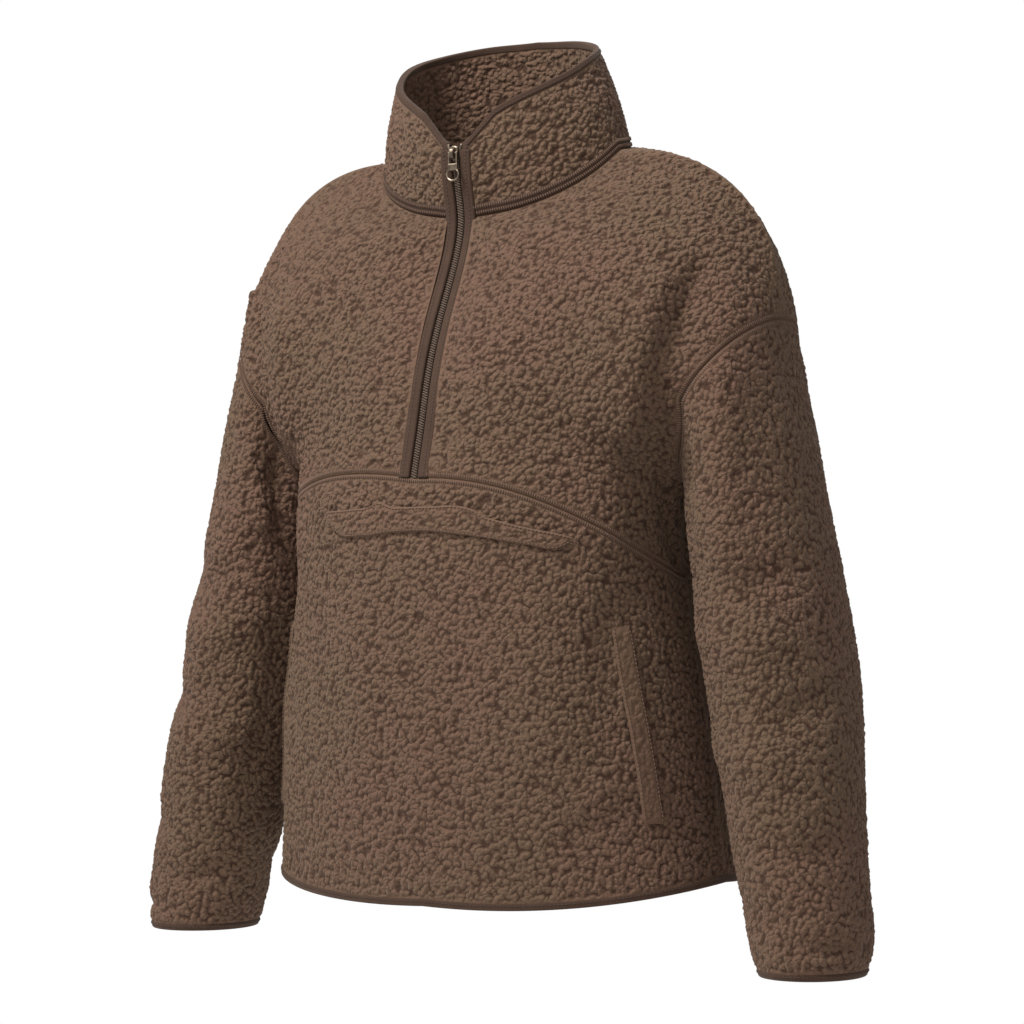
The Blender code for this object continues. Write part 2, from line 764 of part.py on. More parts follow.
def zip_line():
    """The middle line of the zip, from the yoke seam up to the top of the collar."""
    heights = np.linspace(YOKE_MIDDLE + ZIP_END_GAP, -NECK_DROP, ZIP_STEPS)
    front = [(0.0, -read(FRONT_LINE, "height", "out", z), z) for z in heights]
    collar = [collar_point(0.0, s) for s in (0.2, 0.4, 0.6, 0.8, 1.0)]
    points = np.array(front + collar)
    for _ in range(2):
        points[1:-1] = (points[:-2] + 2 * points[1:-1] + points[2:]) / 4
    along = unit(np.gradient(points, axis=0))
    out = unit(np.cross(np.array([1.0, 0.0, 0.0]), along))
    return points, along, out * -np.sign(out[:, 1:2])


def zip_strip(name, line, out, left, right, bottom, top, soft, finish):
    """A bar along the zip, from left to right across it and from bottom to top out of it."""
    across = np.array([1.0, 0.0, 0.0])
    profile = (
        (left, bottom),
        (right, bottom),
        (right, top - soft),
        (right - soft, top),
        (left + soft, top),
        (left, top - soft),
    )
    rings = [[p + across * a + o * b for a, b in profile] for p, o in zip(line, out)]
    return swept(name, rings, False, finish)


def build_zip():
    line, _, out = zip_line()
    inner, outer = ZIP_BINDING_INNER, ZIP_BINDING_OUTER - SEAM_GAP
    low, high = -ZIP_BINDING_DEPTH, EDGE_PROUD
    zip_strip("zip_binding_left", line, out, inner, outer, low, high, BINDING_ROUND, BINDING)
    zip_strip("zip_binding_right", line, out, -outer, -inner, low, high, BINDING_ROUND, BINDING)
    tape_top = low - SEAM_GAP
    half = ZIP_TAPE_HALF_WIDTH
    zip_strip("zip_tape", line, out, -half, half, tape_top - ZIP_TAPE, tape_top, ZIP_TAPE / 4, BINDING)
    half = ZIP_CHAIN_HALF_WIDTH
    chain_top = low + ZIP_CHAIN
    zip_strip("zip_chain", line, out, -half, half, low, chain_top, ZIP_CHAIN / 3, COIL)


def surface_of(panel):
    """A panel's outer surface, ready to be searched."""
    points = [Vector(p) for p in panel.points]
    return panel, BVHTree.FromPolygons(points, panel.faces)


def soft_normal(panel, number, point):
    """The outward direction at a point of a face, between those of the face's corners."""
    corners = list(panel.faces[number])
    gaps = np.linalg.norm(panel.points[corners] - point, axis=1)
    weights = 1.0 / (gaps + CLOTH) ** 2
    return unit(np.sum(panel.normals[corners] * weights[:, None], axis=0))


def along_ray(surface, start, way):
    """Where a ray meets a surface, and the outward direction there."""
    panel, tree = surface
    hit, _, number, _ = tree.ray_cast(Vector(start), Vector(way))
    return np.array(hit), soft_normal(panel, number, np.array(hit))


def build_pouch_welt(surface):
    """The stitched welt across the front, just under the yoke seam."""
    lines, normals, heights = [], [], []
    for x in np.linspace(WELT[0].x, WELT[-1].x, WELT_STEPS):
        top, bottom = read(WELT, "x", "top", x), read(WELT, "x", "bottom", x)
        levels = [bottom + (top - bottom) * k / 4 for k in range(5)]
        row = [along_ray(surface, (x, -1.0, z), (0.0, 1.0, 0.0)) for z in levels]
        lines.append([point for point, _ in row])
        normals.append([normal for _, normal in row])
        heights.append([WELT_THIN, WELT_PROUD, WELT_PROUD, WELT_PROUD, WELT_THIN])
    laid("pouch_welt", lines, normals, heights, FLEECE)


def build_side_pockets(surface):
    """A folded welt down the front of each side, where a hand goes in."""
    for side, sign in (("left", 1.0), ("right", -1.0)):
        lines, normals, heights = [], [], []
        for k in range(POCKET_STEPS + 1):
            share = k / POCKET_STEPS
            angle = POCKET_TOP.angle + (POCKET_BOTTOM.angle - POCKET_TOP.angle) * share
            z = POCKET_TOP.height + (POCKET_BOTTOM.height - POCKET_TOP.height) * share
            row = []
            for width in (-1.0, -0.8, 0.0, 0.8, 1.0):
                a = math.radians(angle + POCKET_HALF_ANGLE * width)
                way = np.array([-sign * math.sin(a), math.cos(a), 0.0])
                row.append(along_ray(surface, np.array([0.0, 0.0, z]) - way, way))
            lines.append([point for point, _ in row])
            normals.append([normal for _, normal in row])
            heights.append([POCKET_THIN, POCKET_PROUD, POCKET_PROUD, POCKET_PROUD, POCKET_THIN])
        laid(f"pocket_welt_{side}", lines, normals, heights, FLEECE)


# The slider and its pull tab


def add_box(name, low, high, finish):
    corners = [(x, y, z) for x in (low[0], high[0]) for y in (low[1], high[1]) for z in (low[2], high[2])]
    faces = [(0, 1, 3, 2), (4, 6, 7, 5), (0, 4, 5, 1), (2, 3, 7, 6), (0, 2, 6, 4), (1, 5, 7, 3)]
    return add_object(name, corners, faces, finish)


def round_edges(made, width):
    bevel = made.modifiers.new("rounded", "BEVEL")
    bevel.width = width
    bevel.segments = 2
    bevel.limit_method = "ANGLE"


def join(made, others):
    """Makes one body of an object and others that meet it; the others are left out."""
    for other in others:
        union = made.modifiers.new("joined", "BOOLEAN")
        union.operation = "UNION"
        union.object = other
        other.hide_render = True
        other.display_type = "WIRE"


def slider_place():
    """Where the slider's middle lies on the zip, and the turn that lays it along the zip."""
    line, along, out = zip_line()
    heights = line[:, 2]
    point = np.array([0.0, np.interp(SLIDER_MIDDLE, heights, line[:, 1]), SLIDER_MIDDLE])
    up = unit(np.array([np.interp(SLIDER_MIDDLE, heights, along[:, k]) for k in range(3)]))
    outward = unit(np.array([np.interp(SLIDER_MIDDLE, heights, out[:, k]) for k in range(3)]))
    turn = Matrix((Vector((1.0, 0.0, 0.0)), Vector(-outward), Vector(up))).transposed()
    return point, outward, turn


def build_slider():
    """The slider: a rounded plate over the chain with a bridge that the pull's pin passes under."""
    point, outward, turn = slider_place()
    half, length, thick = SLIDER_WIDTH / 2, SLIDER_LENGTH / 2, SLIDER_THICK
    outline = []
    for share in np.linspace(-1.0, 1.0, SLIDER_STEPS):
        flare = 0.5 + 0.5 * math.tanh(SLIDER_FLARE * (share + SLIDER_FLARE_FROM))
        wide = half * (SLIDER_WAIST + (1 - SLIDER_WAIST) * flare)
        rounded = math.sqrt(max(0.0, 1 - abs(share) ** SLIDER_SQUARE))
        wide *= SLIDER_END_WIDTH + (1 - SLIDER_END_WIDTH) * rounded
        outline.append((wide, share * length))
    edge = outline + [(-x, z) for x, z in reversed(outline)]
    count = len(edge)
    points = [(x, 0.0, z) for x, z in edge] + [(x, -thick, z) for x, z in edge]
    faces = [tuple(range(count)), tuple(reversed(range(count, 2 * count)))]
    faces += [(i, count + i, count + (i + 1) % count, (i + 1) % count) for i in range(count)]
    slider = add_object("zip_slider", points, faces, METAL)
    if solid_volume(slider) < 0:
        slider.data.flip_normals()
    round_edges(slider, SLIDER_EDGE)
    bridge_half = BRIDGE_WIDTH / 2
    arch = []
    for a in np.linspace(0.0, math.pi, BRIDGE_STEPS):
        rise = BRIDGE_HEIGHT * max(0.0, math.sin(a)) ** BRIDGE_SQUARE
        arch.append((BRIDGE_LENGTH / 2 * math.cos(a), rise))
    base = BRIDGE_SINK - thick
    rings = []
    for z, rise in arch:
        inner_z, inner_rise = z * BRIDGE_INNER_LENGTH, rise * BRIDGE_INNER_RISE
        rings.append(
            [
                (-bridge_half, base - rise, z),
                (bridge_half, base - rise, z),
                (bridge_half, base - inner_rise, inner_z),
                (-bridge_half, base - inner_rise, inner_z),
            ]
        )
    bridge = swept("slider_bridge", rings, False, METAL)
    join(slider, [bridge])
    lift = -ZIP_BINDING_DEPTH + ZIP_CHAIN + SEAM_GAP
    place = Matrix.Translation(Vector(point + outward * lift)) @ turn.to_4x4()
    slider.matrix_world = place
    bridge.matrix_world = place


def pull_axis():
    """The pull's hinge: under the slider's bridge, level with its middle."""
    point, outward, turn = slider_place()
    lift = -ZIP_BINDING_DEPTH + ZIP_CHAIN + SEAM_GAP + SLIDER_THICK + PIN_LIFT
    return point + outward * lift


def build_pull():
    """The pull tab, hanging straight down from its pin: two arms, a block and a ring."""
    pin = add_round("zip_pull", PULL_PIN, PULL_ARM_SPACING, METAL)
    arm_x, half = PULL_ARM_SPACING / 2, PULL_THICK / 2
    arms = []
    for side, sign in (("left", 1.0), ("right", -1.0)):
        low = (sign * arm_x - PULL_ARM_WIDTH / 2, -half, -PULL_ARM_LENGTH)
        high = (sign * arm_x + PULL_ARM_WIDTH / 2, half, PULL_PIN + PULL_LAP)
        arm = add_box(f"pull_arm_{side}", low, high, METAL)
        round_edges(arm, PULL_ARM_EDGE)
        arms.append(arm)
    block_low = -PULL_ARM_LENGTH - PULL_BLOCK_LENGTH + PULL_LAP
    thick = half + PULL_BLOCK_PROUD
    low = (-PULL_BLOCK_WIDTH / 2, -thick, block_low)
    high = (PULL_BLOCK_WIDTH / 2, thick, -PULL_ARM_LENGTH + PULL_LAP)
    block = add_box("pull_block", low, high, METAL)
    round_edges(block, PULL_BLOCK_EDGE)
    ring = build_ring(block_low - RING_HALF_HEIGHT + 2 * RING_WIRE)
    join(pin, arms + [block, ring])
    place = Matrix.Translation(Vector(pull_axis()))
    for made in [pin, block, ring] + arms:
        made.matrix_world = place


def add_round(name, radius, length, finish):
    """A pin along X."""
    rings = []
    for x in (-length / 2, length / 2):
        angles = [2 * math.pi * k / PIN_SIDES for k in range(PIN_SIDES)]
        rings.append([(x, radius * math.cos(a), radius * math.sin(a)) for a in angles])
    return swept(name, rings, False, finish)


def build_ring(middle):
    """The pull's ring, its middle at a height below the pin."""
    rings = []
    for k in range(RING_SIDES):
        a = 2 * math.pi * k / RING_SIDES
        centre = np.array([RING_HALF_WIDTH * math.sin(a), 0.0, middle + RING_HALF_HEIGHT * math.cos(a)])
        out = unit(np.array([math.sin(a) / RING_HALF_WIDTH, 0.0, math.cos(a) / RING_HALF_HEIGHT]))
        turns = [2 * math.pi * (m + 0.5) / WIRE_SIDES for m in range(WIRE_SIDES)]
        ahead = np.array([0.0, 1.0, 0.0])
        rings.append([centre + (out * math.cos(t) + ahead * math.sin(t)) * RING_WIRE for t in turns])
    return swept("pull_ring", rings, True, METAL)


def main():
    for old in list(bpy.data.objects):
        bpy.data.objects.remove(old, do_unlink=True)
    panels = build_panels()
    build_bindings(panels)
    build_neck_band(panels["collar"])
    build_zip()
    front = surface_of(panels["lower_front"])
    build_pouch_welt(front)
    build_side_pockets(front)
    build_slider()
    build_pull()


main()
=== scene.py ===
"""The looks of a half-zip pullover in curly pile fleece, filled out as it is worn."""

import logging
import math
from dataclasses import dataclass, field
from enum import Enum
from typing import Any, NamedTuple

import bpy
import numpy as np
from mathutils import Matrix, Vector
from mathutils.bvhtree import BVHTree

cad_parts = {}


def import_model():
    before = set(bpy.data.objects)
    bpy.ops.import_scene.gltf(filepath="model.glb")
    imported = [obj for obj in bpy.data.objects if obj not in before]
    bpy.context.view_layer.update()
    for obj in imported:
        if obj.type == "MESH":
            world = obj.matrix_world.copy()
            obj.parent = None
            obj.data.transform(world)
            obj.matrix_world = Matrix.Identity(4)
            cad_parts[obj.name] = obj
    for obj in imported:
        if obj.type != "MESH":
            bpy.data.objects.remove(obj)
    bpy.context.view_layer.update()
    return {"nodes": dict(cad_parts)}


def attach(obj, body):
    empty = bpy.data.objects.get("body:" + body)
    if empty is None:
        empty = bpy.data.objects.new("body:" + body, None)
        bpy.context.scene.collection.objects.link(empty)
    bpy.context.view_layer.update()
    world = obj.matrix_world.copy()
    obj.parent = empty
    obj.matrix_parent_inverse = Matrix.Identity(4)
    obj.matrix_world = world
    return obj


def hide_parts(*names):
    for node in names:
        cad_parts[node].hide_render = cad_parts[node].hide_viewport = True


log = logging.getLogger("pullover")

Array = np.ndarray


# Tables of the cut, the same sizes as the solids have


class Line(NamedTuple):
    """A point of an outline: how far out it is at a height."""

    height: float
    out: float


class Row(NamedTuple):
    """The two middle control points of a row's curve."""

    row: float
    x1: float
    y1: float
    z1: float
    x2: float
    y2: float
    z2: float


class Tube(NamedTuple):
    """A section of the sleeve's tube."""

    height: float
    x: float
    y: float
    outer: float
    inner: float
    deep: float


class CollarTop(NamedTuple):
    """How high the collar stands at an angle round from the front."""

    angle: float
    height: float


class Fold(NamedTuple):
    """A fold: a line of three points, how wide and how deep; side 0 is laid on both sides."""

    side: int
    start: tuple[float, float, float]
    middle: tuple[float, float, float]
    end: tuple[float, float, float]
    width: float
    depth: float


class Crease(NamedTuple):
    """A soft crease on one panel: its line, how wide and how deep, ridges above zero."""

    line: tuple[tuple[float, float], ...]
    width: float
    depth: float


class Welt(NamedTuple):
    """The welt's top and bottom edges at a place across the front."""

    x: float
    top: float
    bottom: float


FRONT_LINE = (
    Line(-0.607, 0.125),
    Line(-0.5, 0.1365),
    Line(-0.4, 0.1425),
    Line(-0.32, 0.143),
    Line(-0.263, 0.1385),
    Line(-0.228, 0.129),
    Line(-0.18, 0.1174),
    Line(-0.14, 0.102),
    Line(-0.108, 0.086),
    Line(-0.08, 0.0735),
    Line(-0.055, 0.067),
)
BACK_LINE = (
    Line(-0.597, 0.12),
    Line(-0.5, 0.13),
    Line(-0.4, 0.136),
    Line(-0.3, 0.142),
    Line(-0.2, 0.145),
    Line(-0.12, 0.137),
    Line(-0.06, 0.118),
    Line(-0.02, 0.1),
    Line(0.012, 0.085),
)
SIDE_LINE = (
    Line(-0.588, 0.204),
    Line(-0.53, 0.197),
    Line(-0.47, 0.188),
    Line(-0.4, 0.176),
    Line(-0.36, 0.169),
    Line(-0.33, 0.165),
    Line(-0.3, 0.164),
    Line(-0.285, 0.166),
    Line(-0.272, 0.172),
)
FRONT_ROWS = (
    Row(0, 0.125, -0.1265, -0.607, 0.203, -0.078, -0.587),
    Row(6, 0.118, -0.1445, -0.436, 0.187, -0.088, -0.458),
    Row(12, 0.108, -0.1425, -0.262, 0.172, -0.1, -0.318),
    Row(15, 0.112, -0.14, -0.232, 0.18, -0.078, -0.272),
    Row(19, 0.105, -0.128, -0.154, 0.162, -0.106, -0.223),
    Row(23, 0.09, -0.092, -0.07, 0.185, -0.1, -0.12),
    Row(26, 0.128, -0.062, -0.048, 0.22, -0.062, -0.078),
    Row(30, 0.172, 0.0, 0.002, 0.251, 0.008, -0.028),
)
BACK_ROWS = (
    Row(0, 0.12, 0.121, -0.594, 0.203, 0.078, -0.586),
    Row(6, 0.115, 0.137, -0.43, 0.188, 0.088, -0.458),
    Row(12, 0.108, 0.147, -0.29, 0.174, 0.095, -0.338),
    Row(15, 0.11, 0.15, -0.222, 0.184, 0.09, -0.266),
    Row(19, 0.105, 0.145, -0.132, 0.17, 0.13, -0.208),
    Row(23, 0.09, 0.105, -0.01, 0.19, 0.118, -0.105),
    Row(26, 0.128, 0.072, 0.002, 0.224, 0.078, -0.066),
    Row(30, 0.172, 0.0, 0.002, 0.251, 0.008, -0.028),
)
SLEEVE = (
    Tube(-0.13, 0.187, 0.012, 0.064, 0.03, 0.078),
    Tube(-0.18, 0.1965, 0.007, 0.0615, 0.031, 0.078),
    Tube(-0.244, 0.213, 0.008, 0.0605, 0.033, 0.078),
    Tube(-0.272, 0.219, 0.008, 0.06, 0.037, 0.0778),
    Tube(-0.3, 0.2255, 0.0075, 0.06, 0.0425, 0.0775),
    Tube(-0.33, 0.2325, 0.0065, 0.06, 0.048, 0.077),
    Tube(-0.36, 0.239, 0.0055, 0.06, 0.0525, 0.076),
    Tube(-0.4, 0.2475, 0.004, 0.0595, 0.057, 0.074),
    Tube(-0.45, 0.258, -0.001, 0.058, 0.0565, 0.071),
    Tube(-0.532, 0.2748, -0.0122, 0.0525, 0.052, 0.064),
    Tube(-0.59, 0.2855, -0.016, 0.0485, 0.0485, 0.058),
    Tube(-0.626, 0.2919, -0.018, 0.0465, 0.0465, 0.055),
    Tube(-0.64, 0.293, -0.0185, 0.044, 0.044, 0.0525),
    Tube(-0.649, 0.2935, -0.0187, 0.041, 0.041, 0.049),
)
COLLAR_TOP = (
    CollarTop(0.0, 0.005),
    CollarTop(8.0, 0.008),
    CollarTop(10.0, 0.013),
    CollarTop(12.5, 0.0185),
    CollarTop(15.0, 0.023),
    CollarTop(19.0, 0.028),
    CollarTop(25.0, 0.0335),
    CollarTop(31.0, 0.0385),
    CollarTop(48.0, 0.0505),
    CollarTop(67.0, 0.063),
    CollarTop(90.0, 0.0785),
    CollarTop(120.0, 0.092),
    CollarTop(150.0, 0.101),
    CollarTop(180.0, 0.104),
)
FOLDS = (
    Fold(0, (0.221, -0.068, -0.105), (0.196, -0.075, -0.175), (0.19, -0.066, -0.262), 0.02, -0.01),
    Fold(0, (0.15, -0.1, -0.15), (0.155, -0.11, -0.22), (0.16, -0.095, -0.3), 0.026, 0.004),
    Fold(0, (0.222, 0.08, -0.12), (0.2, 0.098, -0.18), (0.19, 0.085, -0.262), 0.02, -0.008),
)
ARM_FOLDS = (
    Fold(1, (0.212, -0.062, -0.2), (0.206, -0.058, -0.26), (0.204, -0.052, -0.34), 0.012, -0.005),
    Fold(
        -1, (-0.205, -0.066, -0.17), (-0.196, -0.058, -0.23), (-0.196, -0.046, -0.3), 0.009, -0.0045
    ),
    Fold(
        1, (0.208, -0.049, -0.102), (0.196, -0.071, -0.163), (0.188, -0.065, -0.219), 0.009, -0.0065
    ),
    Fold(
        1, (0.188, -0.065, -0.219), (0.178, -0.043, -0.257), (0.165, -0.005, -0.334), 0.01, -0.0045
    ),
    Fold(1, (0.19, -0.078, -0.11), (0.176, -0.092, -0.18), (0.168, -0.09, -0.25), 0.014, 0.005),
    Fold(1, (0.235, -0.058, -0.19), (0.24, -0.068, -0.26), (0.243, -0.07, -0.33), 0.015, 0.005),
    Fold(-1, (-0.226, -0.04, -0.11), (-0.226, -0.046, -0.2), (-0.224, -0.05, -0.33), 0.006, 0.005),
    Fold(
        -1, (-0.238, -0.034, -0.13), (-0.238, -0.04, -0.22), (-0.236, -0.044, -0.34), 0.006, -0.0048
    ),
    Fold(
        -1, (-0.201, -0.044, -0.081), (-0.18, -0.08, -0.15), (-0.186, -0.075, -0.222), 0.009, -0.007
    ),
    Fold(
        -1, (-0.214, -0.054, -0.12), (-0.208, -0.062, -0.198), (-0.207, -0.058, -0.3), 0.009, 0.0068
    ),
    Fold(
        -1, (-0.165, -0.095, -0.13), (-0.16, -0.102, -0.2), (-0.155, -0.098, -0.262), 0.013, 0.0045
    ),
    Fold(
        -1, (-0.222, -0.05, -0.15), (-0.22, -0.055, -0.23), (-0.217, -0.056, -0.33), 0.007, -0.005
    ),
    Fold(0, (0.214, 0.062, -0.095), (0.198, 0.092, -0.17), (0.19, 0.086, -0.24), 0.01, -0.006),
    Fold(0, (0.18, 0.1, -0.11), (0.168, 0.118, -0.18), (0.165, 0.11, -0.25), 0.015, 0.0045),
    Fold(0, (0.236, 0.062, -0.18), (0.241, 0.07, -0.26), (0.246, 0.07, -0.34), 0.016, 0.0045),
)
WELT = (
    Welt(-0.09, -0.2935, -0.2965),
    Welt(-0.084, -0.2925, -0.302),
    Welt(-0.076, -0.292, -0.309),
    Welt(-0.068, -0.2915, -0.313),
    Welt(-0.056, -0.2905, -0.3132),
    Welt(-0.044, -0.2895, -0.3125),
    Welt(-0.036, -0.287, -0.312),
    Welt(-0.03, -0.285, -0.311),
    Welt(-0.024, -0.2868, -0.31),
    Welt(-0.016, -0.289, -0.3095),
    Welt(-0.007, -0.289, -0.309),
    Welt(0.018, -0.2885, -0.3085),
    Welt(0.046, -0.2885, -0.311),
    Welt(0.056, -0.291, -0.312),
    Welt(0.066, -0.2965, -0.3135),
    Welt(0.076, -0.2995, -0.315),
    Welt(0.1, -0.3055, -0.319),
    Welt(0.12, -0.31, -0.3215),
    Welt(0.129, -0.3125, -0.3165),
)

# Stitched lines beside the welt, in metres across and up
SEWN_LINES = (
    ((-0.15, -0.33), (-0.12, -0.3245), (-0.098, -0.3205), (-0.066, -0.3147)),
    ((0.036, -0.286), (0.043, -0.2925), (0.041, -0.3), (0.033, -0.3035)),
    ((0.12, -0.3225), (0.13, -0.3165), (0.135, -0.3085), (0.137, -0.303)),
)

# Soft creases. On the body a line runs in metres across and up. On a sleeve it runs in degrees
# round the tube (0 outside, 90 front, 180 inside, 270 back) and metres up.
FRONT_CREASES = (
    Crease(((-0.15, -0.33), (-0.12, -0.4), (-0.105, -0.48)), 0.018, -0.0035),
    Crease(((-0.07, -0.35), (-0.05, -0.43), (-0.058, -0.52)), 0.024, 0.0029),
    Crease(((0.03, -0.36), (0.04, -0.45), (0.022, -0.54)), 0.026, -0.0026),
    Crease(((0.09, -0.35), (0.115, -0.44), (0.12, -0.53)), 0.022, 0.0035),
    Crease(((0.158, -0.345), (0.15, -0.4), (0.158, -0.46)), 0.013, -0.0048),
    Crease(((-0.165, -0.42), (-0.15, -0.5), (-0.16, -0.56)), 0.014, 0.0035),
    Crease(((-0.02, -0.44), (0.01, -0.5), (0.0, -0.56)), 0.02, 0.0022),
    Crease(((-0.12, -0.11), (-0.13, -0.18), (-0.115, -0.24)), 0.024, -0.0035),
    Crease(((0.12, -0.11), (0.135, -0.18), (0.125, -0.25)), 0.024, -0.0038),
    Crease(((0.03, -0.12), (0.06, -0.18), (0.07, -0.24)), 0.026, 0.0029),
    Crease(((-0.03, -0.13), (-0.06, -0.19), (-0.062, -0.245)), 0.024, 0.0026),
    Crease(((0.165, -0.49), (0.14, -0.52), (0.1, -0.528)), 0.014, 0.0029),
)
BACK_CREASES = (
    Crease(((-0.15, -0.3), (-0.11, -0.39), (-0.1, -0.5)), 0.022, -0.0042),
    Crease(((-0.06, -0.33), (-0.045, -0.44), (-0.06, -0.55)), 0.026, 0.0035),
    Crease(((0.02, -0.35), (0.01, -0.45), (0.03, -0.56)), 0.024, -0.0032),
    Crease(((0.085, -0.32), (0.1, -0.42), (0.085, -0.53)), 0.024, 0.0038),
    Crease(((0.152, -0.31), (0.14, -0.39), (0.15, -0.48)), 0.018, -0.0042),
    Crease(((-0.1, -0.09), (-0.12, -0.16), (-0.115, -0.23)), 0.024, -0.0035),
    Crease(((0.105, -0.09), (0.125, -0.17), (0.11, -0.24)), 0.026, -0.0032),
    Crease(((-0.13, -0.52), (-0.06, -0.545), (0.01, -0.53)), 0.014, 0.0026),
)
SLEEVE_CREASES = (
    Crease(((20.0, -0.33), (70.0, -0.355), (120.0, -0.33)), 0.015, -0.0048),
    Crease(((35.0, -0.385), (85.0, -0.4), (140.0, -0.38)), 0.016, 0.0045),
    Crease(((10.0, -0.43), (60.0, -0.455), (110.0, -0.44)), 0.014, -0.0048),
    Crease(((50.0, -0.48), (95.0, -0.49), (150.0, -0.47)), 0.013, 0.0038),
    Crease(((15.0, -0.545), (55.0, -0.56), (100.0, -0.548)), 0.013, -0.0038),
    Crease(((60.0, -0.6), (100.0, -0.607), (150.0, -0.596)), 0.01, -0.0042),
    Crease(((5.0, -0.622), (45.0, -0.63), (85.0, -0.622)), 0.008, -0.0035),
    Crease(((70.0, -0.3), (78.0, -0.42), (72.0, -0.54)), 0.02, 0.0032),
    Crease(((140.0, -0.32), (150.0, -0.44), (146.0, -0.56)), 0.018, -0.0042),
    Crease(((200.0, -0.34), (240.0, -0.365), (290.0, -0.345)), 0.016, -0.0048),
    Crease(((210.0, -0.42), (260.0, -0.44), (310.0, -0.425)), 0.016, 0.0042),
    Crease(((220.0, -0.5), (270.0, -0.52), (320.0, -0.5)), 0.014, -0.0045),
    Crease(((200.0, -0.59), (250.0, -0.6), (300.0, -0.588)), 0.011, -0.0042),
    Crease(((300.0, -0.3), (312.0, -0.42), (305.0, -0.54)), 0.022, 0.0035),
)


def smooth(xs: Array, ys: Array, at: Array) -> Array:
    """A smooth curve through points.

    Args:
        xs: where the points are, rising.
        ys: the points' values.
        at: where the curve is read.

    Returns:
        The curve's values.
    """
    slopes = np.gradient(ys, xs)
    at = np.clip(at, xs[0], xs[-1])
    i = np.clip(np.searchsorted(xs, at) - 1, 0, len(xs) - 2)
    step = xs[i + 1] - xs[i]
    t = (at - xs[i]) / step
    return (
        (2 * t**3 - 3 * t**2 + 1) * ys[i]
        + (t**3 - 2 * t**2 + t) * step * slopes[i]
        + (3 * t**2 - 2 * t**3) * ys[i + 1]
        + (t**3 - t**2) * step * slopes[i + 1]
    )


def read(table: tuple[Any, ...], key: str, column: str, at: Array) -> Array:
    """A table's column as a smooth curve over its key column.

    Args:
        table: the rows.
        key: the column that the curve runs along.
        column: the column that is read.
        at: where it is read.

    Returns:
        The column's values there.
    """
    rows = sorted(table, key=lambda r: getattr(r, key))
    xs = np.array([getattr(r, key) for r in rows], float)
    ys = np.array([getattr(r, column) for r in rows], float)
    return smooth(xs, ys, np.asarray(at, float))


def unit(v: Array) -> Array:
    """The same directions with a length of one."""
    return v / np.maximum(np.linalg.norm(v, axis=-1, keepdims=True), 1e-12)


def ease(value: Array, low: float, high: float) -> Array:
    """A soft step from 0 at low to 1 at high."""
    t = np.clip((value - low) / (high - low), 0.0, 1.0)
    return t * t * (3 - 2 * t)


